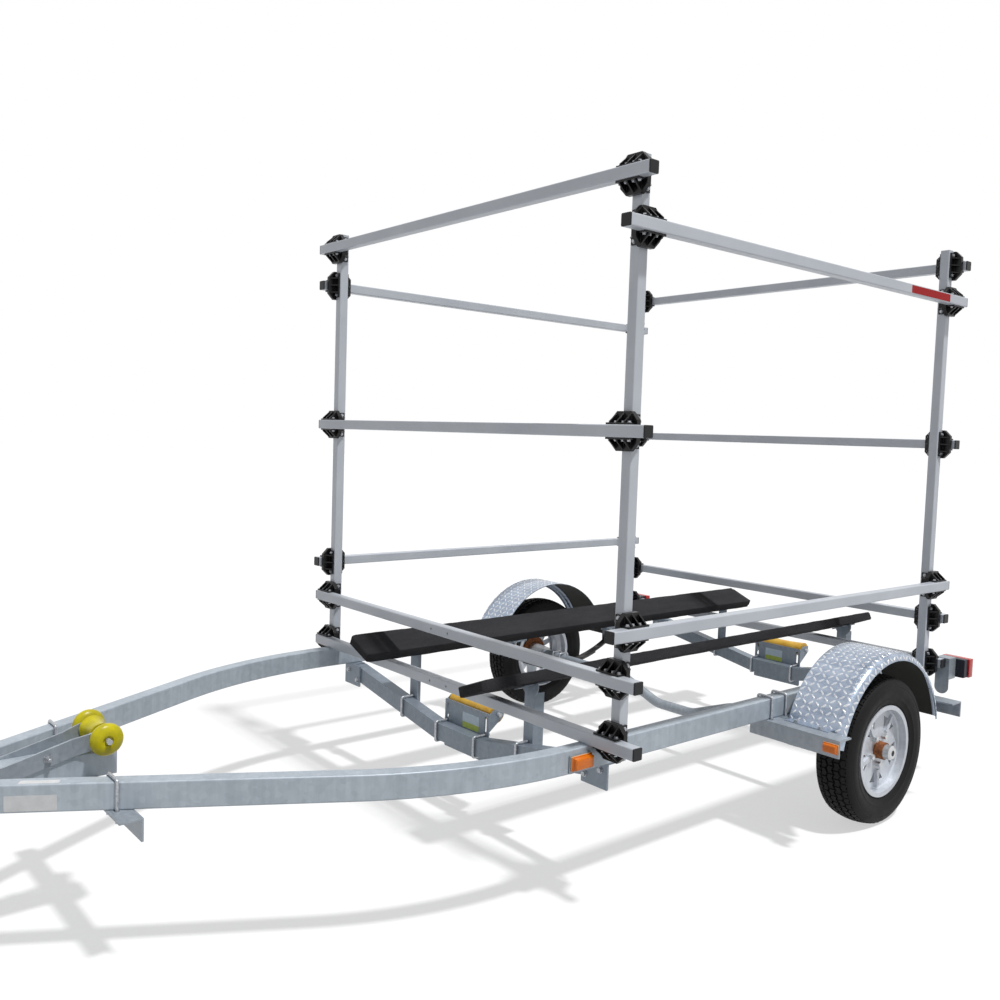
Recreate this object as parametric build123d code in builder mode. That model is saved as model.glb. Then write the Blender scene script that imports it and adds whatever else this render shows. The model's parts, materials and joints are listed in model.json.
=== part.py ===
"""Boat trailer with a four-post rack of square tube, parked on its tongue jack.

Millimetres. +X is forward (towards the coupler), +Y the trailer's left, +Z up.
The origin is on the ground, midway along and across the trailer.
"""
import os
from math import asin, atan, cos, degrees, radians, sin, sqrt, tan

from build123d import *

# Rack of square tube: places are measured from the front uprights
tube = 38.1
tube_wall = 3.2
tube_corner = 4.0
rack_length = 1919.0
rack_half = 862.0
upright_drop = 62.0
upright_length = 1829.0
cross_length = 1885.0
side_length = 2088.0
cap_thickness = 5.0
cap_plug = 14.0
cap_gap = 0.2
peg_hole = 8.0
peg_pitch = 102.0
peg_middle = 17.0

# Cross clamps that join the bars to the uprights
clamp_web = 16.0
clamp_half_bar = 54.0
clamp_half_upright = 60.0
clamp_chamfer = 25.0
clamp_shelf = 6.0
clamp_depth = 30.0
clamp_rib = 5.0
clamp_rib_pitch = 30.0
clamp_foot = 4.0

# Main rails and tongue
rail_width = 50.8
rail_height = 76.2
rail_wall = 3.2
rail_corner = 5.0
rail_gap = 1.0
rail_bottom = 428.0
rail_overrun = 85.0
rail_bend_start = 100.0
rail_bend_radius = 1400.0
rail_bend_angle = 30.0
tongue = 76.2
tongue_wall = 4.8
tongue_rear = 1240.0

# Coupler for a 50 mm ball
coupler_nose = 2600.0
coupler_head = 110.0
coupler_wall = 5.0
coupler_overlap = 120.0
coupler_skirt = 64.0
socket_radius = 25.8
socket_wall = 11.0
socket_depth = 30.0

# Tongue jack
jack_at = 2150.0
jack_radius = 28.0
jack_wall = 3.0
jack_fit = 0.05
jack_hang = 178.0
jack_rise = 196.0
jack_cap = 12.0
jack_head = 34.0
jack_plate = 8.0
jack_plate_length = 130.0
jack_weld = 16.0
leg_lap = 230.0
leg_wall = 4.0
foot_length = 160.0
foot_width = 120.0
foot_thickness = 8.0
crank_reach = 150.0
crank_grip = 85.0

# Bow stop
bow_at = 1284.0
bow_rise = 44.0
bow_arm_width = 50.0
bow_arm_thickness = 6.4
bow_arm_gap = 24.0
bow_arm_pitch = 14.5
bow_arm_flare = 16.0
spool_half = 46.0
spool_radius = 38.0
spool_waist = 27.0
bell_radius = 47.0
bell_width = 38.0
shaft_radius = 8.0
shaft_fit = 0.05
side_gap = 5.5

# Angle that ties the rails to the tongue
brace_leg = 63.5
brace_thickness = 6.4
brace_at = 1290.0
brace_over = 83.0

# Cross members, dropped in the middle to clear a keel
member_front = 55.0
member_rear = 2100.0
member_width = 50.8
member_height = 64.0
member_wall = 4.0
member_top = 322.0
member_flat = 130.0
member_inset = 32.0
member_gap = 1.3
member_bend = 160.0
bracket_plate = 8.0
bracket_drop = 90.0
bracket_lap = 40.0
bracket_inset = 7.0

# Keel roller brackets and rollers
keel_plate_half = 135.0
keel_plate = 5.0
keel_plate_drop = 36.0
keel_plate_rise = 88.0
keel_ear_rise = 18.0
keel_axis_back = 43.0
keel_axis_rise = 80.0
keel_radius = 36.0
keel_waist = 30.0
keel_slot_at = 118.0
keel_slot_rise = 70.0

# Bunks
bunk_front = 190.0
bunk_overhang = 190.0
bunk_width = 146.0
bunk_thickness = 44.0
bunk_at = 356.0
bunk_clear = 4.0
bunk_tilt = 22.0
bunk_corner = 9.0
post_leg = 50.0
post_wall = 5.0
post_drop = 12.0
post_clear = 10.0
head_radius = 42.0
head_flange = 110.0
head_width = 60.0
head_thickness = 5.0

# Running gear
axle_at = 1316.0
tyre_radius = 287.0
tyre_width = 150.0
track_offset = 166.0
bead_gap = 0.3
tyre_wall = 12.0
rim_bead = 165.0
rim_flange = 177.0
rim_width = 124.0
rim_sheet = 5.0
rim_well = 142.0
disc_offset = 31.0
disc_sheet = 5.0
disc_radius = 152.0
spoke_rise = 9.0
spoke_start = 18.0
window_in = 82.0
window_out = 122.0
stud_radius = 6.0
spoke_count = 5
lug_circle = 57.2
lug_radius = 11.0
lug_length = 16.0
hub_bore = 20.05
hub_fit = 0.05
hub_in = 80.0
hub_barrel = 36.0
hub_nose = 33.0
hub_flange = 74.0
hub_flange_thickness = 12.0
hub_reach = 63.0
hub_end_wall = 3.0
cap_radius = 28.0
cap_length = 30.0
axle_radius = 22.2
axle_gap = 13.0
axle_dip = 82.0
axle_dip_half = 330.0
axle_dip_flat = 105.0
axle_bend = 170.0

# Springs, under the axle
spring_half = 358.0
spring_width = 38.0
leaf_thickness = 7.0
spring_eye_drop = 76.0
spring_eye = 14.0
spring_bolt = 7.0
spring_seat = 6.0
seat_gap = 0.3
spring_bolt_fit = 0.3
leaf_shares = (1.0, 0.68, 0.4)
hanger_plate = 8.0
hanger_length = 90.0
hanger_front = 22.0
hanger_u = 15.0
hanger_width = 110.0
hanger_cheek = 5.0
seat_length = 76.0
seat_plate = 8.0

# Fenders
fender_clear = 98.0
fender_sheet = 3.0
fender_in = 135.0
fender_out = 88.0
fender_roll = 30.0
fender_low_angle = 12.0
fender_lap = 20.0
fender_leg = 76.2
fender_leg_down = 63.5
fender_leg_thickness = 6.4
fender_leg_gap = 1.8
fender_leg_over = 46.0
fender_leg_in = 18.0

# U-bolts
u_bolt = 4.75
u_gap = 1.5
u_bend = 9.0
u_tail = 26.0
u_hole = 5.6

# Lamps
marker_length = 85.0
marker_height = 45.0
marker_depth = 22.0
marker_at = 68.0
marker_plate = 5.0
side_lamp_width = 60.0
side_lamp_height = 36.0
side_lamp_depth = 16.0
tail_box_length = 60.0
tail_out = 28.0
tail_drop = 71.0
tail_box_height = 92.0
tail_box_width = 60.0
tail_box_sheet = 4.0
tail_tab = 72.0
tail_lamp_width = 120.0
tail_lamp_height = 80.0
tail_housing = 32.0
tail_lens = 46.0

# Places along the trailer, worked out from the sizes above
bunk_tail = member_rear + bunk_overhang
front_x = (bunk_tail - coupler_nose) / 2
rear_x = front_x - rack_length
axle_x = front_x - axle_at
tongue_front = coupler_nose - coupler_head

# Places across it
bar_offset = tube + clamp_web
tube_in = tube - 2 * tube_wall
rail_outer = rack_half - clamp_half_bar - rail_gap
rail_inner = rail_outer - rail_width
spring_at = rail_outer - rail_width / 2
tyre_track = rail_outer + track_offset
disc_face = tyre_track + disc_offset
hub_inner = tyre_track - hub_in
hub_out = tyre_track + hub_reach
axle_end = hub_inner - axle_gap
fender_inner = tyre_track - fender_in
fender_outer = tyre_track + fender_out
fender_leg_end = fender_outer + fender_leg_over
fender_leg_inner = rail_inner - fender_leg_in
member_end = rail_inner - member_inset
bracket_inner = member_end - bracket_lap
bracket_outer = rail_outer - bracket_inset
tail_inner = rack_half + tail_out

# Heights above the ground
rail_top = rail_bottom + rail_height
cross_low = rail_top + tube / 2
upright_low = cross_low - upright_drop
member_low = member_top - member_height
member_slope = degrees(atan((rail_bottom - member_gap - member_top) / (member_end - member_flat)))
bracket_low = rail_bottom - bracket_drop
keel_plate_low = member_low - keel_plate_drop
keel_plate_top = member_top + keel_plate_rise
keel_ear_low = member_top + keel_ear_rise
keel_axis_up = member_top + keel_axis_rise
keel_slot_top = member_top + keel_slot_rise
bunk_rise = bunk_width / 2 * sin(radians(bunk_tilt)) + bunk_thickness / 2 * cos(radians(bunk_tilt))
bunk_height = cross_low + tube / 2 + bunk_clear + bunk_rise
bow_height = rail_top + bow_rise
spring_eye_height = rail_bottom - spring_eye_drop
fender_radius = tyre_radius + fender_clear
jack_low = rail_bottom - jack_hang
jack_top = rail_top + jack_rise
leg_top = jack_low + leg_lap
tail_low = cross_low - tail_drop

# Bars: height above the lowest cross bar, shift of the bar along its own length
cross_rows = ((0.0, 44.0), (196.0, 37.0), (949.0, 33.0), (1704.0, 12.0))
rear_shift = -14.0
side_rows = (342.0, 1551.0)
side_starts = ((1, 115.0), (-1, 66.0))
corners = (("front_left", 1, 1), ("front_right", 1, -1), ("rear_left", -1, 1), ("rear_right", -1, -1))


def tube_profile(size, wall, corner):
    """Section of a square tube with rounded outer corners, in the sketch that is open."""
    RectangleRounded(size, size, corner)
    Rectangle(size - 2 * wall, size - 2 * wall, mode=Mode.SUBTRACT)


def member_rise(y):
    """Height of a cross member above its flat middle at the distance y from the centre."""
    return max(0.0, abs(y) - member_flat) * tan(radians(member_slope))


def save(builder, name):
    """Label a finished piece and write its STEP file."""
    builder.part.label = name
    export_step(builder.part, f"parts/{name}.step")


os.makedirs("parts", exist_ok=True)

# Rack uprights
for corner, end, side in corners:
    upright_x = front_x if end > 0 else rear_x
    with BuildPart() as upright:
        with BuildSketch(Plane((upright_x, side * rack_half, upright_low))):
            tube_profile(tube, tube_wall, tube_corner)
        extrude(amount=upright_length)
    save(upright, f"upright_{corner}")

# Cross bars of the rack, on the outer faces of the uprights
bar_ends = []
for end_name, end in (("front", 1), ("rear", -1)):
    bar_x = front_x + bar_offset if end > 0 else rear_x - bar_offset
    with BuildPart() as cross_bars:
        for row, (rise, shift) in enumerate(cross_rows):
            bar_z = cross_low + rise
            bar_y = shift if end > 0 else rear_shift
            start = bar_y - cross_length / 2
            with BuildSketch(Plane((bar_x, start, bar_z), x_dir=(1, 0, 0), z_dir=(0, 1, 0))):
                tube_profile(tube, tube_wall, tube_corner)
            extrude(amount=cross_length)
            if end > 0 and row < 2:
                with Locations(*[
                    Plane((bar_x, peg_middle + share * peg_pitch, bar_z), z_dir=(1, 0, 0))
                    for share in (-0.5, 0.5)
                ]):
                    Cylinder(peg_hole / 2, 2 * tube, mode=Mode.SUBTRACT)
            bar_ends.append(Plane((bar_x, start, bar_z), x_dir=(1, 0, 0), z_dir=(0, -1, 0)))
            bar_ends.append(
                Plane((bar_x, start + cross_length, bar_z), x_dir=(1, 0, 0), z_dir=(0, 1, 0))
            )
    save(cross_bars, f"{end_name}_cross_bars")

# Side bars of the rack, on the outboard faces of the uprights
for side, overhang in side_starts:
    bar_y = side * (rack_half + bar_offset)
    bar_x = front_x + overhang
    with BuildPart() as side_bars:
        for rise in side_rows:
            bar_z = cross_low + rise
            with BuildSketch(Plane((bar_x, bar_y, bar_z), x_dir=(0, 1, 0), z_dir=(-1, 0, 0))):
                tube_profile(tube, tube_wall, tube_corner)
            extrude(amount=side_length)
            bar_ends.append(Plane((bar_x, bar_y, bar_z), x_dir=(0, 1, 0), z_dir=(1, 0, 0)))
            bar_ends.append(
                Plane((bar_x - side_length, bar_y, bar_z), x_dir=(0, 1, 0), z_dir=(-1, 0, 0))
            )
    save(side_bars, "side_bars_left" if side > 0 else "side_bars_right")

# Plastic plug for a bar end: a lip on the tube's end and a plug inside it
with BuildPart() as end_cap:
    with BuildSketch():
        RectangleRounded(tube, tube, tube_corner)
    extrude(amount=cap_thickness)
    chamfer(end_cap.faces().sort_by(Axis.Z)[-1].edges(), 1.5)
    with BuildSketch():
        Rectangle(tube_in - 2 * cap_gap, tube_in - 2 * cap_gap)
    extrude(amount=-cap_plug)

with BuildPart() as bar_end_caps:
    with Locations(*bar_ends):
        add(end_cap.part)
save(bar_end_caps, "bar_end_caps")

# One cross clamp: bar along X on the +Z side, upright along Y on the -Z side
with BuildPart() as clamp:
    with BuildSketch(Plane.XY.offset(tube / 2)):
        with BuildLine():
            Polyline(
                (-clamp_half_bar, clamp_half_upright - clamp_chamfer),
                (-clamp_half_bar + clamp_chamfer, clamp_half_upright),
                (clamp_half_bar - clamp_chamfer, clamp_half_upright),
                (clamp_half_bar, clamp_half_upright - clamp_chamfer),
                (clamp_half_bar, -clamp_half_upright + clamp_chamfer),
                (clamp_half_bar - clamp_chamfer, -clamp_half_upright),
                (-clamp_half_bar + clamp_chamfer, -clamp_half_upright),
                (-clamp_half_bar, -clamp_half_upright + clamp_chamfer),
                close=True,
            )
        make_face()
    extrude(amount=clamp_web)
    # Shelves that hold the bar, and shelves that hold the upright
    bar_shelf = 2 * (clamp_half_bar - 8)
    post_shelf = 2 * (clamp_half_upright - 8)
    with BuildSketch(Plane.XY.offset(tube / 2 + clamp_web)):
        with Locations((0, (tube + clamp_shelf) / 2), (0, -(tube + clamp_shelf) / 2)):
            Rectangle(bar_shelf, clamp_shelf)
    extrude(amount=clamp_depth)
    with BuildSketch(Plane.XY.offset(tube / 2)):
        with Locations(((tube + clamp_shelf) / 2, 0), (-(tube + clamp_shelf) / 2, 0)):
            Rectangle(clamp_shelf, post_shelf)
    extrude(amount=-clamp_depth)
    # Triangular ribs from each shelf to the edge of the web
    shelf_out = tube / 2 + clamp_shelf
    for step in (-1, 0, 1):
        along = step * clamp_rib_pitch
        reach = clamp_half_upright - (clamp_foot if step == 0 else clamp_foot + 2)
        for turn in (1, -1):
            with BuildSketch(Plane((along, 0, tube / 2 + clamp_web), x_dir=(0, turn, 0), z_dir=(turn, 0, 0))):
                with BuildLine():
                    Polyline(
                        (shelf_out, 0), (reach, 0), (shelf_out + clamp_foot, clamp_depth),
                        (shelf_out, clamp_depth), close=True,
                    )
                make_face()
            extrude(amount=clamp_rib / 2, both=True)
        reach = clamp_half_bar - (clamp_foot if step == 0 else clamp_foot + 2)
        for turn in (1, -1):
            with BuildSketch(Plane((0, along, tube / 2), x_dir=(turn, 0, 0), z_dir=(0, turn, 0))):
                with BuildLine():
                    Polyline(
                        (shelf_out, 0), (reach, 0), (shelf_out + clamp_foot, clamp_depth),
                        (shelf_out, clamp_depth), close=True,
                    )
                make_face()
            extrude(amount=clamp_rib / 2, both=True)

for corner, end, side in corners:
    upright_x = front_x if end > 0 else rear_x
    cross_seats = [
        Plane((upright_x, side * rack_half, cross_low + rise), x_dir=(0, end, 0), z_dir=(end, 0, 0))
        for rise, shift in cross_rows
    ]
    side_seats = [
        Plane((upright_x, side * rack_half, cross_low + rise), x_dir=(-side, 0, 0), z_dir=(0, side, 0))
        for rise in side_rows
    ]
    with BuildPart() as clamps:
        with Locations(*cross_seats, *side_seats):
            add(clamp.part)
    save(clamps, f"clamps_{corner}")

# Main rail: straight beside the rack, bent in to the tongue ahead of it
bend = radians(rail_bend_angle)
bend_x = front_x + rail_bend_start
bend_y = rail_outer - rail_bend_radius


def rail_band(inset, low):
    """The rail's plan outline at the height low, drawn inside its faces by inset."""
    outer = rail_bend_radius - inset
    inner = rail_bend_radius - rail_width + inset
    rear = front_x - member_rear - rail_overrun
    starts = []
    for radius in (outer, inner):
        end_x = bend_x + radius * sin(bend)
        end_y = bend_y + radius * cos(bend)
        nose_x = end_x + (end_y - tongue / 2) / tan(bend)
        starts.append((bend_y + radius, (end_x, end_y), (nose_x, tongue / 2)))
    (outer_y, outer_end, outer_nose), (inner_y, inner_end, inner_nose) = starts
    with BuildSketch(Plane.XY.offset(low)) as band:
        with BuildLine():
            Line((rear, inner_y), (rear, outer_y))
            Line((rear, outer_y), (bend_x, outer_y))
            CenterArc((bend_x, bend_y), outer, 90, -rail_bend_angle)
            Line(outer_end, outer_nose)
            Line(outer_nose, inner_nose)
            Line(inner_nose, inner_end)
            CenterArc((bend_x, bend_y), inner, 90 - rail_bend_angle, rail_bend_angle)
            Line((bend_x, inner_y), (rear, inner_y))
        make_face()
    return band.sketch


with BuildPart() as rail_left:
    extrude(rail_band(0, rail_bottom), amount=rail_height)
    long_edges = [
        edge for face in (rail_left.faces().sort_by(Axis.Z)[0], rail_left.faces().sort_by(Axis.Z)[-1])
        for edge in face.edges() if edge.length > 3 * rail_width
    ]
    fillet(long_edges, rail_corner)
    extrude(
        rail_band(rail_wall, rail_bottom + rail_wall), amount=rail_height - 2 * rail_wall,
        mode=Mode.SUBTRACT,
    )
save(rail_left, "rail_left")

with BuildPart() as rail_right:
    mirror(rail_left.part, about=Plane.XZ)
save(rail_right, "rail_right")

# Tongue tube
with BuildPart() as tongue_tube:
    with BuildSketch(
        Plane((front_x + tongue_rear, 0, rail_bottom + tongue / 2), x_dir=(0, 1, 0), z_dir=(1, 0, 0))
    ):
        tube_profile(tongue, tongue_wall, rail_corner)
    extrude(amount=tongue_front - tongue_rear)
save(tongue_tube, "tongue_tube")

# Coupler: a saddle over the tongue's front end that narrows to the ball socket
ball_x = front_x + coupler_nose - socket_radius - socket_wall
saddle_x = front_x + tongue_front - coupler_overlap
saddle_half = tongue / 2 + coupler_wall
coupler_top = rail_bottom + tongue + coupler_wall
coupler_low = coupler_top - coupler_skirt
head_out = socket_radius + socket_wall
with BuildPart() as coupler:
    with BuildSketch(Plane.XY.offset(coupler_low)):
        with BuildLine():
            Polyline(
                (saddle_x, -saddle_half), (front_x + tongue_front, -saddle_half),
                (ball_x, -head_out), (ball_x, head_out),
                (front_x + tongue_front, saddle_half), (saddle_x, saddle_half), close=True,
            )
        make_face()
        with Locations((ball_x, 0)):
            Circle(head_out)
    extrude(amount=coupler_skirt)
    fillet(coupler.faces().sort_by(Axis.Z)[-1].edges(), 4)
    with BuildSketch(Plane.XY.offset(coupler_low)):
        with Locations((saddle_x, 0)):
            Rectangle(2 * coupler_overlap, tongue)
    extrude(amount=coupler_skirt - coupler_wall, mode=Mode.SUBTRACT)
    with Locations((ball_x, 0, coupler_low)):
        Cylinder(
            socket_radius, socket_depth, align=(Align.CENTER, Align.CENTER, Align.MIN),
            mode=Mode.SUBTRACT,
        )
save(coupler, "coupler")

# Latch lever on the coupler's top
with BuildPart() as coupler_latch:
    with BuildSketch(Plane.XZ.offset(-9)):
        with BuildLine():
            Polyline(
                (ball_x - 62, coupler_top), (ball_x - 62, coupler_top + 12),
                (ball_x - 105, coupler_top + 38), (ball_x - 101, coupler_top + 45),
                (ball_x - 52, coupler_top + 22), (ball_x - 12, coupler_top + 16),
                (ball_x - 12, coupler_top), close=True,
            )
        make_face()
    extrude(amount=18)
save(coupler_latch, "coupler_latch")

# Jack: a tube welded to a plate on the tongue's left face, with a gear head
jack_x = front_x + jack_at
jack_y = tongue / 2 + jack_plate + jack_weld + jack_radius - 4
jack_bore = jack_radius - jack_wall
plate_z = rail_bottom + tongue / 2
with BuildPart() as jack_body:
    with Locations((jack_x, tongue / 2 + jack_plate / 2, plate_z)):
        Box(jack_plate_length, jack_plate, tongue)
    with Locations((jack_x, tongue / 2 + jack_plate + jack_weld / 2, plate_z)):
        Box(jack_radius * 1.4, jack_weld, tongue * 0.8)
    with Locations((jack_x, jack_y, jack_low)):
        Cylinder(jack_radius, jack_top - jack_low, align=(Align.CENTER, Align.CENTER, Align.MIN))
        Cylinder(
            jack_bore, jack_top - jack_low - jack_cap, align=(Align.CENTER, Align.CENTER, Align.MIN),
            mode=Mode.SUBTRACT,
        )
    with Locations((jack_x, jack_y, jack_top)):
        Cylinder(jack_radius + 5, jack_head, align=(Align.CENTER, Align.CENTER, Align.MIN))
save(jack_body, "jack_body")

# Jack crank, set on the gear head
with BuildPart() as jack_crank:
    with Locations((jack_x, jack_y, jack_top + jack_head)):
        Cylinder(8, 26, align=(Align.CENTER, Align.CENTER, Align.MIN))
    with BuildSketch(Plane.XY.offset(jack_top + jack_head + 20)):
        with Locations((jack_x - crank_reach / 2, jack_y)):
            SlotCenterToCenter(crank_reach, 22)
    extrude(amount=7)
    with Locations((jack_x - crank_reach, jack_y, jack_top + jack_head + 27)):
        Cylinder(11, crank_grip, align=(Align.CENTER, Align.CENTER, Align.MIN))
save(jack_crank, "jack_crank")

# Jack leg with its foot on the ground
with BuildPart() as jack_leg:
    with BuildSketch():
        with Locations((jack_x, jack_y)):
            RectangleRounded(foot_length, foot_width, 14)
    extrude(amount=foot_thickness)
    with BuildSketch(Plane.XY.offset(foot_thickness)):
        with Locations((jack_x, jack_y)):
            Circle(jack_bore - jack_fit)
            Circle(jack_bore - jack_fit - leg_wall, mode=Mode.SUBTRACT)
    extrude(amount=leg_top - foot_thickness)
save(jack_leg, "jack_leg")

# Angle under the rails and the tongue
brace_x = front_x + brace_at
brace_u_x = brace_x + brace_leg * 0.65
rail_line_x = bend_x + rail_bend_radius * sin(bend)
rail_line_y = bend_y + rail_bend_radius * cos(bend)
brace_u_outer = rail_line_y - (brace_u_x - rail_line_x) * tan(bend)
brace_u_inner = brace_u_outer - rail_width / cos(bend)
u_off = u_bolt + u_gap
brace_legs = (brace_u_outer + u_off / cos(bend), brace_u_inner - u_off / cos(bend))
brace_half = brace_legs[0] + brace_over
with BuildPart() as front_brace:
    with BuildSketch(Plane.XZ.offset(-brace_half)):
        with BuildLine():
            Polyline(
                (brace_x, rail_bottom), (brace_x + brace_leg, rail_bottom),
                (brace_x + brace_leg, rail_bottom - brace_thickness),
                (brace_x + brace_thickness, rail_bottom - brace_thickness),
                (brace_x + brace_thickness, rail_bottom - brace_leg),
                (brace_x, rail_bottom - brace_leg), close=True,
            )
        make_face()
    extrude(amount=2 * brace_half)
    with Locations(*[
        (brace_u_x, side * leg_y, rail_bottom) for side in (1, -1) for leg_y in brace_legs
    ]):
        Cylinder(u_hole, 4 * brace_thickness, mode=Mode.SUBTRACT)
save(front_brace, "front_brace")

# Bow stop arms on the tongue's flanks, spread apart at the roller
bow_x = front_x + bow_at
arm_y = tongue / 2 + bow_arm_thickness / 2
arm_spread = spool_half + side_gap + bow_arm_thickness / 2
flare_run = (arm_spread - arm_y) / tan(radians(bow_arm_flare))
flare_end = bow_arm_width * 0.7
rail_nose = bend_x + (rail_bend_radius - rail_width) * sin(bend) + (
    bend_y + (rail_bend_radius - rail_width) * cos(bend) - tongue / 2
) / tan(bend)
bow_arm_length = (rail_nose - bow_arm_gap - bow_x) / cos(radians(bow_arm_pitch))
with BuildPart() as bow_arms:
    for side in (1, -1):
        with BuildSketch(
            Plane((bow_x, 0, bow_height), x_dir=(cos(radians(bow_arm_pitch)), 0, -sin(radians(bow_arm_pitch))),
                  z_dir=(sin(radians(bow_arm_pitch)), 0, cos(radians(bow_arm_pitch))))
        ):
            with BuildLine():
                inner = side * (arm_y - bow_arm_thickness / 2)
                outer = side * (arm_y + bow_arm_thickness / 2)
                spread_in = side * (arm_spread - bow_arm_thickness / 2)
                spread_out = side * (arm_spread + bow_arm_thickness / 2)
                Polyline(
                    (-bow_arm_width / 2, spread_in), (flare_end, spread_in),
                    (flare_end + flare_run, inner), (bow_arm_length, inner),
                    (bow_arm_length, outer), (flare_end + flare_run, outer),
                    (flare_end, spread_out), (-bow_arm_width / 2, spread_out), close=True,
                )
            make_face()
        extrude(amount=bow_arm_width / 2, both=True)
    with Locations(Plane((bow_x, 0, bow_height), z_dir=(0, 1, 0))):
        Cylinder(shaft_radius, 4 * arm_spread, mode=Mode.SUBTRACT)
save(bow_arms, "bow_arms")

# Bow roller: a spool between the arms and a bell outside each arm
bell_in = arm_spread + bow_arm_thickness / 2 + side_gap
with BuildPart() as bow_roller:
    with BuildSketch(Plane((bow_x, 0, bow_height), x_dir=(0, 1, 0), z_dir=(1, 0, 0))):
        with BuildLine():
            Line((-spool_half, shaft_radius + shaft_fit), (-spool_half, spool_radius))
            ThreePointArc((-spool_half, spool_radius), (0, spool_waist), (spool_half, spool_radius))
            Line((spool_half, spool_radius), (spool_half, shaft_radius + shaft_fit))
            Line((spool_half, shaft_radius + shaft_fit), (-spool_half, shaft_radius + shaft_fit))
        make_face()
        for side in (1, -1):
            with BuildLine():
                near = side * bell_in
                far = side * (bell_in + bell_width)
                Line((near, shaft_radius + shaft_fit), (near, bell_radius * 0.62))
                ThreePointArc(
                    (near, bell_radius * 0.62), (near + side * bell_width * 0.5, bell_radius),
                    (far, bell_radius * 0.72),
                )
                Line((far, bell_radius * 0.72), (far, shaft_radius + shaft_fit))
                Line((far, shaft_radius + shaft_fit), (near, shaft_radius + shaft_fit))
            make_face()
    revolve(axis=Axis((bow_x, 0, bow_height), (0, 1, 0)))
save(bow_roller, "bow_roller")

# Cross members and the brackets that hang them from the rails
members = (("front", front_x - member_front), ("rear", front_x - member_rear))
end_rise = member_rise(member_end)
for name, member_x in members:
    with BuildPart() as crossmember:
        for inset, mode in ((0.0, Mode.ADD), (member_wall, Mode.SUBTRACT)):
            top = -inset
            low = inset - member_height
            with BuildSketch(Plane((member_x, 0, member_top), x_dir=(0, 1, 0), z_dir=(1, 0, 0))) as band:
                with BuildLine():
                    Polyline(
                        (-member_end, end_rise + top), (-member_flat, top), (member_flat, top),
                        (member_end, end_rise + top), (member_end, end_rise + low), (member_flat, low),
                        (-member_flat, low), (-member_end, end_rise + low), close=True,
                    )
                make_face()
                fillet([
                    corner for corner in band.vertices() if abs(abs(corner.Y) - member_flat) < 1
                ], member_bend)
            extrude(amount=member_width / 2 - inset, both=True, mode=mode)
    save(crossmember, f"crossmember_{name}")

with BuildPart() as crossmember_brackets:
    for name, member_x in members:
        for side in (1, -1):
            mid_y = side * (bracket_inner + bracket_outer) / 2
            with Locations((member_x + member_width / 2 + bracket_plate / 2, mid_y,
                            (bracket_low + rail_bottom) / 2)):
                Box(bracket_plate, bracket_outer - bracket_inner, rail_bottom - bracket_low)
            flange_in = member_end + 6
            with Locations((member_x, side * (flange_in + bracket_outer) / 2,
                            rail_bottom - bracket_plate / 2)):
                Box(member_width, bracket_outer - flange_in, bracket_plate)
save(crossmember_brackets, "crossmember_brackets")

# Keel roller brackets: a plate behind the cross member with an ear at each end
keel_legs = (member_top + u_off, member_low - u_off)
for name, member_x in members:
    plate_x = member_x - member_width / 2
    with BuildPart() as keel_bracket:
        with BuildSketch(Plane((plate_x, 0, 0), x_dir=(0, 1, 0), z_dir=(1, 0, 0))):
            with Locations((0, (keel_plate_low + keel_plate_top) / 2)):
                RectangleRounded(2 * keel_plate_half, keel_plate_top - keel_plate_low, 6)
            for side in (1, -1):
                slot_low = keel_legs[0]
                with Locations((side * keel_slot_at, (slot_low + keel_slot_top) / 2)):
                    SlotCenterToCenter(
                        keel_slot_top - slot_low, 2 * u_hole, rotation=90, mode=Mode.SUBTRACT
                    )
                with Locations((side * keel_slot_at, keel_legs[1])):
                    Circle(u_hole, mode=Mode.SUBTRACT)
        extrude(amount=-keel_plate)
        axis_x = plate_x - keel_plate - keel_axis_back
        with BuildSketch(Plane.XZ.offset(-keel_plate_half)):
            with BuildLine():
                Polyline(
                    (plate_x - keel_plate, keel_ear_low), (plate_x - keel_plate, keel_plate_top - 6),
                    (axis_x + 22, keel_axis_up + 20), (axis_x - 22, keel_axis_up + 20),
                    (axis_x - 22, keel_axis_up - 12), close=True,
                )
            make_face()
            with Locations((axis_x, keel_axis_up)):
                Circle(shaft_radius, mode=Mode.SUBTRACT)
        extrude(amount=keel_plate)
        with BuildSketch(Plane.XZ.offset(keel_plate_half)):
            with BuildLine():
                Polyline(
                    (plate_x - keel_plate, keel_ear_low), (plate_x - keel_plate, keel_plate_top - 6),
                    (axis_x + 22, keel_axis_up + 20), (axis_x - 22, keel_axis_up + 20),
                    (axis_x - 22, keel_axis_up - 12), close=True,
                )
            make_face()
            with Locations((axis_x, keel_axis_up)):
                Circle(shaft_radius, mode=Mode.SUBTRACT)
        extrude(amount=-keel_plate)
    save(keel_bracket, f"keel_bracket_{name}")

    roller_half = keel_plate_half - keel_plate - side_gap
    with BuildPart() as keel_roller:
        with BuildSketch(Plane((axis_x, 0, keel_axis_up), x_dir=(0, 1, 0), z_dir=(1, 0, 0))):
            with BuildLine():
                Line((-roller_half, shaft_radius + shaft_fit), (-roller_half, keel_radius))
                ThreePointArc((-roller_half, keel_radius), (0, keel_waist), (roller_half, keel_radius))
                Line((roller_half, keel_radius), (roller_half, shaft_radius + shaft_fit))
                Line((roller_half, shaft_radius + shaft_fit), (-roller_half, shaft_radius + shaft_fit))
            make_face()
        revolve(axis=Axis((axis_x, 0, keel_axis_up), (0, 1, 0)))
    save(keel_roller, f"keel_roller_{name}")

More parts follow.
